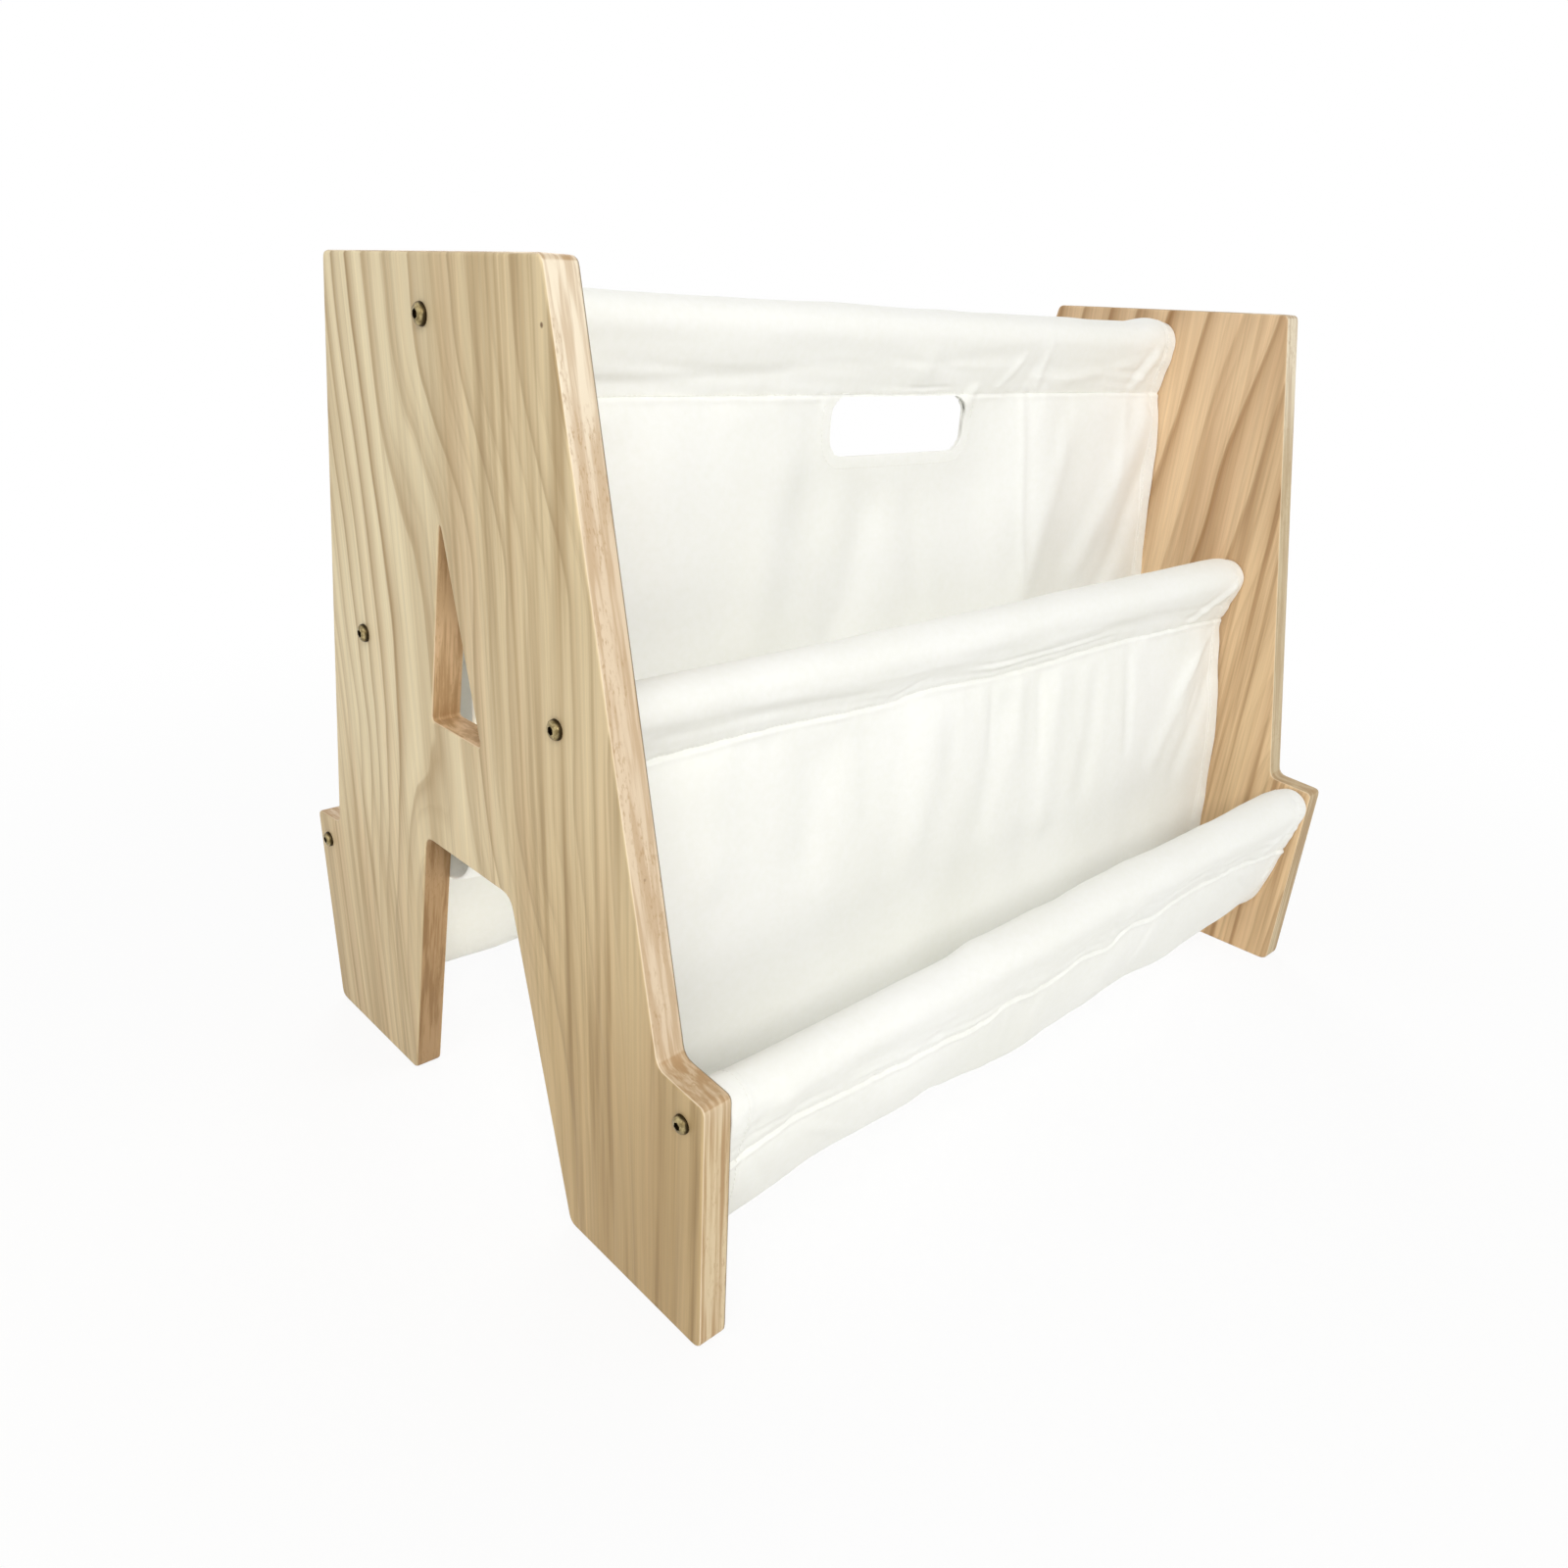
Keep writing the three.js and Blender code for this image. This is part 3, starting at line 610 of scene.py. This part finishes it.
MID_CREASES = (
    ((-0.025, 0.0115), (0.119, 0.0120), 0.0013, -0.0009), ((-0.008, 0.0048), (0.141, 0.0068), 0.0013, -0.0008),
    ((-0.015, 0.0085), (0.10, 0.0090), 0.0013, 0.0007), ((-0.105, 0.002), (-0.068, 0.010), 0.002, -0.0010),
    ((0.256, 0.002), (0.306, 0.034), 0.0036, 0.0016), ((0.246, 0.004), (0.298, 0.036), 0.0034, -0.0009),
    ((0.001, -0.004), (0.0005, -0.050), 0.0042, -0.0013), ((0.0555, -0.004), (0.0555, -0.062), 0.0042, -0.0013),
    ((0.030, -0.004), (0.029, -0.055), 0.008, 0.0010), ((0.168, -0.012), (0.168, -0.085), 0.006, -0.0016),
    ((0.110, -0.006), (0.112, -0.070), 0.010, 0.0009), ((0.269, -0.030), (0.239, -0.056), 0.0042, 0.0015),
    ((0.292, -0.012), (0.262, -0.034), 0.0038, 0.0012), ((-0.12, -0.01), (-0.12, -0.07), 0.012, -0.0010),
    ((0.278, -0.050), (0.262, -0.075), 0.004, -0.0010),
    ((0.282, -0.012), (0.212, -0.105), 0.010, 0.0024), ((0.298, -0.040), (0.250, -0.120), 0.009, -0.0022),
    ((0.125, -0.012), (0.108, -0.110), 0.011, -0.0024), ((0.072, -0.012), (0.060, -0.120), 0.012, 0.0026),
    ((0.012, -0.016), (-0.010, -0.110), 0.012, -0.0026), ((-0.060, -0.012), (-0.082, -0.100), 0.015, 0.0026),
    ((-0.150, -0.012), (-0.180, -0.090), 0.017, -0.0026), ((-0.245, -0.010), (-0.250, -0.080), 0.014, 0.0022),
    ((-0.28, 0.014), (-0.12, 0.010), 0.004, -0.0013), ((-0.22, 0.020), (-0.04, 0.016), 0.0045, 0.0012),
    ((0.12, 0.016), (0.24, 0.012), 0.004, -0.0012), ((0.04, 0.018), (0.17, 0.022), 0.0045, 0.0011),
)
LOW_CREASES = (
    ((0.053, 0.002), (0.028, 0.030), 0.004, -0.0014), ((0.067, 0.004), (0.045, 0.036), 0.005, 0.0013),
    ((0.029, 0.020), (0.040, 0.050), 0.006, -0.0008), ((0.170, 0.002), (0.146, 0.034), 0.006, -0.0009),
    ((-0.289, 0.046), (-0.292, 0.006), 0.007, -0.0018), ((-0.272, 0.030), (-0.268, 0.004), 0.007, 0.0012),
    ((-0.16, 0.004), (-0.13, 0.020), 0.004, -0.0009), ((0.262, 0.004), (0.300, 0.028), 0.0036, 0.0013),
    ((0.225, -0.006), (0.255, -0.022), 0.003, 0.0012), ((0.262, -0.006), (0.282, -0.026), 0.003, -0.0012),
    ((-0.250, -0.012), (-0.205, -0.040), 0.004, 0.0012), ((-0.285, -0.010), (-0.270, -0.045), 0.004, -0.0012),
    ((0.10, -0.008), (0.085, -0.035), 0.004, -0.0010), ((-0.02, -0.008), (0.01, -0.040), 0.006, 0.0009),
)


def smoothstep(value, low, high):
    share = np.clip((value - low) / (high - low), 0, 1)
    return share * share * (3 - 2 * share)


def hump(value, width):
    return np.exp(-((value / width) ** 2))


def between(x, knots):
    """A smooth line through knots of place and value."""
    places, values = (np.array(part) for part in zip(*knots))
    cell = np.clip(np.searchsorted(places, x, side="right") - 1, 0, len(places) - 2)
    share = smoothstep(x, places[cell], places[cell + 1])
    return values[cell] * (1 - share) + values[cell + 1] * share


def soft_noise(u, v, seed):
    """Smooth value noise in two directions, from -1 to 1, one cell per unit."""
    rng = np.random.default_rng(seed)
    table = rng.uniform(-1, 1, (64, 64))
    column, row = np.floor(u).astype(int), np.floor(v).astype(int)
    a, b = u - column, v - row
    a, b = a * a * (3 - 2 * a), b * b * (3 - 2 * b)
    corner = lambda i, j: table[(column + i) % 64, (row + j) % 64]
    low = corner(0, 0) * (1 - a) + corner(1, 0) * a
    high = corner(0, 1) * (1 - a) + corner(1, 1) * a
    return low * (1 - b) + high * b


def rail_centre(name):
    low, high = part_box(f"{name}_rail")
    return np.array([abs(low.y + high.y) / 2, (low.z + high.z) / 2])


def spline(control, steps):
    """Catmull-Rom through control points of shape (columns, points, 2), steps to a span."""
    count = control.shape[1]
    out = []
    for span in range(count - 1):
        p0 = control[:, max(span - 1, 0)]
        p1 = control[:, span]
        p2 = control[:, span + 1]
        p3 = control[:, min(span + 2, count - 1)]
        v0, v1 = (p2 - p0) / 2, (p3 - p1) / 2
        for step in range(steps):
            t = step / steps
            out.append((2 * p1 - 2 * p2 + v0 + v1) * t**3 + (3 * p2 - 3 * p1 - 2 * v0 - v1) * t * t + v0 * t + p1)
    out.append(control[:, -1])
    return np.stack(out, 1)


def wrap(centre, behind, before, clear, steps):
    """The arc over a rail from the seam's rear layer to its front one."""
    def turn(point):
        offset = point - centre
        return np.arctan2(offset[:, 1], offset[:, 0]), np.linalg.norm(offset, axis=1)

    angle_behind, far_behind = turn(behind)
    angle_before, far_before = turn(before)
    start = angle_behind - np.arccos(clear / far_behind)
    end = angle_before + np.arccos(clear / far_before) - 2 * math.pi
    share = np.linspace(0, 1, steps + 1)[None, :]
    angle = start[:, None] * (1 - share) + end[:, None] * share
    return centre[:, None] + clear[:, None, None] * np.stack([np.cos(angle), np.sin(angle)], 2)


def hang(start, end, bottom, fall, bottom_share, rise, steps):
    across = lambda share: start[:, 0] + share * (end[:, 0] - start[:, 0])
    control = [start]
    control += [np.stack([across(s), bottom + up * (start[:, 1] - bottom)], 1) for s, up in fall]
    control.append(np.stack([across(bottom_share), bottom], 1))
    control += [np.stack([across(s), bottom + up * (end[:, 1] - bottom)], 1) for s, up in rise]
    control.append(end)
    return spline(np.stack(control, 1), steps)


def lengths_along(path):
    steps = np.linalg.norm(np.diff(path, axis=1), axis=2)
    return np.concatenate([np.zeros((len(path), 1)), np.cumsum(steps, 1)], 1)


def graded(path, fine_start, fine_end, widest):
    """The path again, with rows as close as 0.8 mm beside the seams named fine and up to widest apart."""
    run = lengths_along(path)
    total = run[:, -1].mean()
    marks = [0.0]
    while marks[-1] < total:
        at = marks[-1]
        near = min(at if fine_start else total, total - at if fine_end else total)
        marks.append(at + min(0.0008 + 0.08 * max(near - 0.009, 0), widest))
    shares = np.array(marks) / marks[-1]
    out = np.empty((len(path), len(shares), 2))
    for column, (line, measure) in enumerate(zip(path, run)):
        for axis in (0, 1):
            out[column, :, axis] = np.interp(shares * measure[-1], measure, line[:, axis])
    return out


def normals_of(path):
    along = np.empty_like(path)
    along[:, 1:-1] = path[:, 2:] - path[:, :-2]
    along[:, 0] = path[:, 1] - path[:, 0]
    along[:, -1] = path[:, -1] - path[:, -2]
    along /= np.linalg.norm(along, axis=2, keepdims=True)
    return np.stack([-along[:, :, 1], along[:, :, 0]], 2)


def folded(path, x, folds):
    place = x / (2 * HALF) + 0.5
    push = sum(depth * FOLD_DEPTH * hump(place - centre, spread) for centre, spread, depth in folds)
    fade = np.sin(np.pi * np.linspace(0, 1, path.shape[1])) ** 2
    return path + normals_of(path) * (push[:, None] * fade[None, :])[:, :, None]


def sling_paths(x, front):
    """The cloth's middle surface: for each place along the rails, points out from the centre plane and up."""
    top, mid, low = (rail_centre(name) for name in ("top", "front_mid", "front_low"))
    place = x if front else -x
    end_share = np.abs(x) / HALF
    ones = np.ones_like(x)
    forward = TOP_FORWARD + (TOP_END_FORWARD - TOP_FORWARD) * end_share**4
    seam = (top[1] - TOP_DROP) * ones
    top_before = np.stack([forward, seam], 1)
    top_behind = np.stack([forward - PITCH, seam], 1)
    start = top_before if front else np.stack([PITCH - forward, seam - THICK], 1)
    mid_before = np.stack([(mid[0] + MID_FORWARD) * ones, mid[1] - MID_DROP + between(place, MID_SEAM)], 1)
    mid_behind = mid_before - np.array([PITCH, 0])
    low_before = np.stack([(low[0] + LOW_FORWARD) * ones, low[1] - LOW_DROP + between(place, LOW_SEAM)], 1)
    low_behind = low_before - np.array([PITCH, 0])

    clear = RAIL_RADIUS + SEAT_GAP + THICK / 2 + 0.0002 + 0.0003 * (1 + soft_noise(x / 0.05 + 9, 0 * x, 3))
    bottom = mid[1] - UPPER_DEPTH - UPPER_SAG * (1 - end_share**2)
    upper = hang(start, mid_behind, bottom, UPPER_FALL, UPPER_BOTTOM, UPPER_RISE, HANG_STEPS)
    upper = folded(upper, x, UPPER_FOLDS)
    side_fade = smoothstep(np.abs(x), HOLE_HALF + HOLE_HEM, HOLE_HALF + HOLE_HEM + HOLE_FADE)
    hole_bottom = top[1] - TOP_DROP - HOLE_DROP - HOLE_HEIGHT
    hem_bottom = hole_bottom - HOLE_HEM
    held = (1 - side_fade)[:, None] * smoothstep(upper[:, :, 1], hem_bottom - HOLE_FADE, hem_bottom)
    upper[:, :, 0] += (start[:, 0][:, None] - upper[:, :, 0]) * held
    bottom = low[1] - LOWER_DEPTH + between(place, LOW_BOTTOM)
    lower = hang(mid_before, low_before, bottom, LOWER_FALL, LOWER_BOTTOM, LOWER_RISE, HANG_STEPS)
    lower = folded(lower, x, LOWER_FOLDS)

    def tunnel(rail, behind, before, slack):
        loose = between(place, slack)
        centre = rail + loose[:, None] * np.array([-0.4, 0.4])
        arc = wrap(centre, behind, before, clear + 0.6 * loose, WRAP_STEPS)
        path = np.concatenate([behind[:, None], arc, before[:, None]], 1)
        return graded(path, False, True, 0.0024)

    parts = []
    if front:
        parts.append(("top", tunnel(top, top_behind, top_before, TOP_SLACK)))
    parts.append(("upper", graded(upper, True, False, 0.004)[:, 1 if front else 0 : -1]))
    parts.append(("mid", tunnel(mid, mid_behind, mid_before, MID_SLACK)))
    parts.append(("lower", graded(lower, True, True, 0.004)[:, 1:-1]))
    parts.append(("low", tunnel(low, low_behind, low_before, LOW_SLACK)[:, ::-1]))
    names = [name for name, path in parts for _ in range(path.shape[1])]
    return np.concatenate([path for _, path in parts], 1), np.array(names)


def columns(spacing):
    """Places along X, closer together at the hems."""
    coarse = np.arange(-HALF + SIDE_HEM + 0.003, HALF - SIDE_HEM - 0.002, spacing)
    near_edge = np.array(
        [0, 0.0003, 0.0008, 0.0018, 0.0035, 0.006, 0.009, 0.0115, 0.0125, 0.0136, 0.0142, 0.0150, 0.0160]
    )
    return np.unique(np.round(np.concatenate([coarse, -HALF + near_edge, HALF - near_edge]), 5))


def hole_distance(x, z, centre_z):
    """Distance to the hand hole's outline on the cloth's plane, negative inside it."""
    qx = np.abs(x) - (HOLE_HALF - HOLE_RADIUS)
    qz = np.abs(z - centre_z) - (HOLE_HEIGHT / 2 - HOLE_RADIUS)
    outside = np.hypot(np.maximum(qx, 0), np.maximum(qz, 0))
    return outside + np.minimum(np.maximum(qx, qz), 0) - HOLE_RADIUS


def crease(x, up, start, end, width, depth):
    long = math.dist(start, end)
    ux, uz = (end[0] - start[0]) / long, (end[1] - start[1]) / long
    along = (x - start[0]) * ux + (up - start[1]) * uz
    off = (x - start[0]) * -uz + (up - start[1]) * ux
    ease = min(0.012, long / 3)
    fade = smoothstep(along, -ease, ease) * (1 - smoothstep(along, long - ease, long + ease))
    return depth * hump(off, width) * fade


def seam_relief(x, up, seed, ridge, gather, wrinkle, creases):
    """How far the cloth stands out towards who looks at it, near one seam. up is the height over that seam."""
    below = np.maximum(-up, 0)
    beside = np.exp(-np.abs(up) / 0.007)
    pucker = 0.0006 * soft_noise(x / 0.0062, up / 0.02, seed) + 0.0007 * soft_noise(x / 0.017, up / 0.03, seed + 1)
    lift = pucker * beside
    lift += ridge * (0.7 + 0.3 * soft_noise(x / 0.03, 0 * up, seed + 2)) * hump(up + 0.0026, 0.0017)
    lift -= 0.7 * ridge * hump(up, 0.0014)
    fade = smoothstep(below, 0.0, 0.012) * np.exp(-below / 0.05)
    pleats = 0.5 * soft_noise(x / 0.011, up / 0.05, seed + 3) + soft_noise(x / 0.026, up / 0.12, seed + 4)
    lift += gather * fade * pleats
    band = smoothstep(up, 0.001, 0.006) * (1 - smoothstep(up, 0.024, 0.036))
    lift += wrinkle * band * soft_noise(x / 0.05, up / 0.0042 + x / 0.11, seed + 5)
    lift += wrinkle * 1.2 * smoothstep(up, 0.0, 0.01) * soft_noise(x / 0.035, up / 0.022, seed + 6)
    for start, end, width, depth in creases:
        lift += crease(x, up, start, end, width, depth)
    on_rail = smoothstep(up, 0.018, 0.028)
    return lift + on_rail * (np.maximum(lift, 0.0004 * np.tanh(lift / 0.0004)) - lift)


def build_sling(name, front, material):
    side = 1 if front else -1
    x = columns(0.0024 if front else 0.0034)
    path, names = sling_paths(x, front)
    rows = path.shape[1]
    run = lengths_along(path)
    length = float(run[:, -1].mean())
    gx = np.repeat(x[:, None], rows, 1)
    place = side * gx
    z = path[:, :, 1]
    top_z = rail_centre("top")[1] - TOP_DROP
    hole_z = top_z - HOLE_DROP - HOLE_HEIGHT / 2
    on = lambda *parts: np.isin(names, parts)[None, :]
    last = lambda part: run[:, np.nonzero(names == part)[0][-1]][:, None]
    first = lambda part: run[:, np.nonzero(names == part)[0][0]][:, None]

    # The outer side looks at the pocket's front half from above the seam, and at its rear half from below
    outer = np.where(on("low") | (on("lower") & (last("lower") - run < 0.13)), -1.0, 1.0)
    over_top = (last("top") if front else first("upper")) - run
    over_mid = last("mid") - run
    over_low = run - first("low")
    top_creases = TOP_CREASES if front else ()
    relief = seam_relief(place, over_top, 41, 0.0007, 0.0006, 0.0005, top_creases) * on("top", "upper")
    relief += seam_relief(place, over_mid, 51, 0.0010, 0.0014, 0.0005, MID_CREASES) * on("mid", "lower")
    relief -= seam_relief(place, over_low, 61, 0.0014, 0.0011, 0.0006, LOW_CREASES) * on("low", "lower")

    edge = HALF - np.abs(gx)
    thick = 0.00035 * (1 - smoothstep(edge, SIDE_HEM - 0.0004, SIDE_HEM + 0.0008))
    thick -= 0.0002 * hump(edge - SIDE_HEM + 0.0016, 0.0009)
    relief += 0.0006 * soft_noise(run / 0.0075, gx * 0 + side, 57) * hump(edge - SIDE_HEM, 0.006)
    sleeve = on("top", "mid", "low")
    flutter = 0.0009 * soft_noise(run / 0.019, gx * 0 + 5 * side, 59) * (1 - smoothstep(edge, 0.0, 0.016))
    relief += np.where(sleeve, 0.3, 1.0) * flutter

    push = 0.0024 * soft_noise(gx / 0.055 + 5, run / 0.11 + 2, 11 + side)
    push = push + 0.0004 * soft_noise(gx / 0.021 + 3, run / 0.033, 23 + side)
    push = np.where(sleeve, 0.0, push * smoothstep(np.minimum(np.abs(over_mid), np.abs(over_low)), 0.0, 0.03))
    rim = hole_distance(gx, z, hole_z)
    plane = on("upper") & (z > top_z - 0.16)
    ring = np.where(plane, 1 - smoothstep(rim, 0.0085, 0.0095), 0)
    thick = thick + 0.0003 * ring * (rim > 0)
    away = np.where(plane, smoothstep(rim, 0.002, 0.03), 1)
    push, relief = push * away, relief * (0.35 + 0.65 * away)
    if front:
        relief += np.where(plane, 0.0022 * hump(np.hypot(place - 0.066, z - top_z + 0.006), 0.007), 0)

    across = normals_of(path)
    end_round = np.sqrt(np.clip(1 - ((0.0009 - edge) / 0.0009).clip(0, 1) ** 2, 0.08, 1))
    half = (THICK / 2 + thick) * end_round
    middle = path + across * push[:, :, None]
    faces_out = middle + across * (half + relief)[:, :, None]
    faces_in = middle - across * (half - relief)[:, :, None]

    edge_wave = (1 + soft_noise(run / 0.028, gx * 0 + 5 * side, 71)) * (1 - smoothstep(edge, 0.0, 0.02))
    gx = gx - np.sign(gx) * edge_wave * np.where(sleeve, 0.00015, 0.0007)
    stitches = stitch_lines(gx, faces_out, faces_in, across, outer, names, run, hole_z, front, side)
    for points in (faces_out, faces_in):
        snap_to_hole(gx, points, rim, plane, hole_z)
    centre = (rim[:-1, :-1] + rim[1:, :-1] + rim[:-1, 1:] + rim[1:, 1:]) / 4
    keep = ~(plane[:-1, :-1] & plane[1:, 1:] & (centre < 0))
    return mesh_from(name, gx, faces_out, faces_in, keep, side, material), length, stitches


def stitch_lines(x, faces_out, faces_in, across, outer, names, run, hole_z, front, side):
    """Pairs of ends of every visible stitch with the way it faces: along the hems, the seams and the hand hole."""
    shown = np.where(outer[:, :, None] > 0, faces_out, faces_in)
    spots = np.stack([x, -side * shown[:, :, 0], shown[:, :, 1]], 2)
    facing = across * outer[:, :, None]
    facing = np.stack([np.zeros_like(x), -side * facing[:, :, 0], facing[:, :, 1]], 2)

    def sewn(points, ways):
        measure = np.concatenate([[0], np.cumsum(np.linalg.norm(np.diff(points, axis=0), axis=1))])
        starts = np.arange(STITCH_STEP, measure[-1] - 2 * STITCH_STEP, STITCH_STEP)
        at = lambda run, values: np.stack([np.interp(run, measure, values[:, axis]) for axis in range(3)], 1)
        return list(zip(at(starts, points), at(starts + STITCH, points), at(starts, ways)))

    found = []
    for column in (int(np.argmin(np.abs(x[:, 0] - edge * (HALF - SIDE_HEM + 0.0022)))) for edge in (-1, 1)):
        found += sewn(spots[column], facing[column])
    seam_rows = [np.nonzero(names == "low")[0][0] + 1, np.nonzero(names == "mid")[0][-1] - 1]
    if front:
        seam_rows.append(np.nonzero(names == "top")[0][-1] - 1)
    for row in seam_rows:
        found += sewn(spots[:, row], facing[:, row])
    rows = np.nonzero((names == "upper") & (shown[len(x) // 2, :, 1] > hole_z - 0.05))[0]
    angles = np.linspace(0, 2 * math.pi, 161)[:-1]
    inset = HOLE_RADIUS + 0.0072
    wide, tall = HOLE_HALF - HOLE_RADIUS, HOLE_HEIGHT / 2 - HOLE_RADIUS
    round_it = []
    for angle in angles:
        px = math.cos(angle) * inset + wide * np.clip(math.cos(angle) * 4, -1, 1)
        pz = hole_z + math.sin(angle) * inset + tall * np.clip(math.sin(angle) * 4, -1, 1)
        if pz > hole_z + HOLE_HEIGHT / 2 - 0.001:
            round_it.append(None)
            continue
        column = int(np.argmin(np.abs(x[:, rows[0]] - px)))
        heights = spots[column, rows, 2]
        order = np.argsort(heights)
        depth = np.interp(pz, heights[order], spots[column, rows, 1][order])
        round_it.append((px, depth, pz))
    stretch = []
    for spot in round_it + [None]:
        if spot is not None:
            stretch.append(spot)
            continue
        if len(stretch) > 2:
            found += sewn(np.array(stretch), np.tile([0.0, -side, 0.0], (len(stretch), 1)))
        stretch = []
    return found


def snap_to_hole(x, points, rim, plane, hole_z):
    """Vertices close to the hand hole's outline move onto it."""
    for column, row in zip(*np.nonzero(plane & (np.abs(rim) < 0.0018))):
        px, pz = x[column, row], points[column, row, 1]
        step = 1e-5
        value = hole_distance(px, pz, hole_z)
        slope_x = (hole_distance(px + step, pz, hole_z) - value) / step
        slope_z = (hole_distance(px, pz + step, hole_z) - value) / step
        x[column, row] = px - value * slope_x
        points[column, row, 1] = pz - value * slope_z


def new_piece(name, verts, faces, material):
    mesh = bpy.data.meshes.new(name)
    mesh.from_pydata(verts, [], faces)
    mesh.materials.append(material)
    mesh.validate()
    mesh.shade_smooth()
    piece = bpy.data.objects.new(name, mesh)
    bpy.context.scene.collection.objects.link(piece)
    return piece


def mesh_from(name, x, outer, inner, keep, side, material):
    """One closed mesh from the cloth's two faces, open where keep is false and walled round every opening."""
    count, rows = x.shape
    corners = lambda points: np.stack([x, -side * points[:, :, 0], points[:, :, 1]], 2).reshape(-1, 3)
    verts = np.concatenate([corners(outer), corners(inner)])
    index = np.arange(count * rows).reshape(count, rows)
    back = index + count * rows
    faces = []

    def quads(where, a, b, c, d):
        found = np.stack([a[where], b[where], c[where], d[where]], 1)
        faces.append(found if side < 0 else found[:, ::-1])

    a, b, c, d = index[:-1, :-1], index[1:, :-1], index[1:, 1:], index[:-1, 1:]
    p, q, r, s = back[:-1, :-1], back[1:, :-1], back[1:, 1:], back[:-1, 1:]
    quads(keep, a, b, c, d)
    quads(keep, s, r, q, p)
    open_at = np.pad(~keep, 1, constant_values=True)
    quads(keep & open_at[1:-1, :-2], b, a, p, q)
    quads(keep & open_at[1:-1, 2:], d, c, r, s)
    quads(keep & open_at[:-2, 1:-1], a, d, s, p)
    quads(keep & open_at[2:, 1:-1], c, b, q, r)
    faces = np.concatenate(faces)
    used = np.unique(faces)
    renumber = np.full(len(verts), -1)
    renumber[used] = np.arange(len(used))
    piece = new_piece(name, verts[used].tolist(), renumber[faces].tolist(), material)
    piece.data.set_sharp_from_angle(angle=math.radians(62))
    return piece


def capsules(name, ends, radius, material):
    """Short rounded threads, one from each pair of ends, as one mesh."""
    rings = ((-0.5, 0.35, -0.7), (-0.36, 0.95, 0.25), (0.36, 0.95, 0.25), (0.5, 0.35, -0.7))
    sides = 6
    turns = [(math.cos(2 * math.pi * step / sides), math.sin(2 * math.pi * step / sides)) for step in range(sides)]
    verts, faces = [], []
    for start, end, out in ends:
        along = end - start
        middle = (start + end) / 2
        up = out / np.linalg.norm(out)
        cross = np.cross(along, up)
        cross /= np.linalg.norm(cross)
        base = len(verts)
        for share, width, rise in rings:
            hub = middle + along * share + up * radius * rise
            verts += [tuple(hub + radius * width * (c * cross + s * up)) for c, s in turns]
        for ring in range(len(rings) - 1):
            for step in range(sides):
                a = base + ring * sides + step
                b = base + ring * sides + (step + 1) % sides
                faces.append((a, b, b + sides, a + sides))
        faces.append(tuple(base + step for step in reversed(range(sides))))
        faces.append(tuple(base + (len(rings) - 1) * sides + step for step in range(sides)))
    return new_piece(name, verts, faces, material)


def finish_piece(piece):
    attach(piece, "root")


bpy.context.scene.view_settings.view_transform = "Standard"
add_camera()
add_world(0.42)
add_lamp("key", (-1.6, -1.6, 2.9), 2.0, 24)
add_lamp("fill", (2.2, -1.6, 1.7), 2.4, 5)
add_lamp("front", (0.1, -2.2, 1.9), 1.6, 7)
add_lamp("near", (-1.24, -1.82, 1.39), 0.7, 17, (0, 0, 0.2))
add_lamp("side", (-2.2, -0.3, 0.9), 0.9, 2.0, (-0.3, 0, 0.2))
add_lamp("back", (1.6, 2.3, 1.6), 2.2, 34)
for along in (-0.24, -0.12, 0, 0.12, 0.24):
    add_glow((along, 0, 0.12), 0.1)
for side in (-1, 1):
    add_glow((side * 0.24, 0, 0.26), 0.09)
    add_glow((0, side * 0.165, 0.065), 0.03, (0, side * 0.12, 0.2))
    add_glow((0, side * 0.055, 0.19), 0.045, (0, side * 0.01, 0.33))
add_floor()

pine_near, pine_far, pine_rail = make_woods()
brass, steel = aged_brass(), zinc()
cloth_front = canvas("canvas_off_white", linear(249, 249, 245), linear(245, 245, 238))
thread = canvas("thread_off_white", linear(247, 246, 240), linear(240, 239, 231), thread=True)


def dress(node, material, angle):
    piece = nodes[node]
    for held in piece.material_slots:
        held.material = material
    piece.data.shade_smooth()
    weld = piece.modifiers.new("weld", "WELD")
    weld.merge_threshold = 0.00002
    split = piece.modifiers.new("split", "EDGE_SPLIT")
    split.split_angle = math.radians(angle)
    split.use_edge_sharp = False
    piece.modifiers.new("soft_edges", "WEIGHTED_NORMAL")


for node, material in (("left_side_panel", pine_near), ("right_side_panel", pine_far)):
    dress(node, material, 50)
for rail in RAILS:
    dress(f"{rail}_rail", pine_rail, 40)
    for end in ("left", "right"):
        dress(f"{rail}_bolt_{end}", brass, 50)
        dress(f"{rail}_insert_{end}", steel, 50)

for name, front in (("front", True), ("rear", False)):
    piece, length, stitches = build_sling(f"{name}_canvas", front, cloth_front)
    finish_piece(piece)
    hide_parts(f"{name}_sling")
    sewing = capsules(f"{name}_stitching", stitches, 0.00024, thread)
    finish_piece(sewing)

plain = lambda box: [list(corner) for corner in box]
{"cad": plain(cad_box), "visual": plain(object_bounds())}
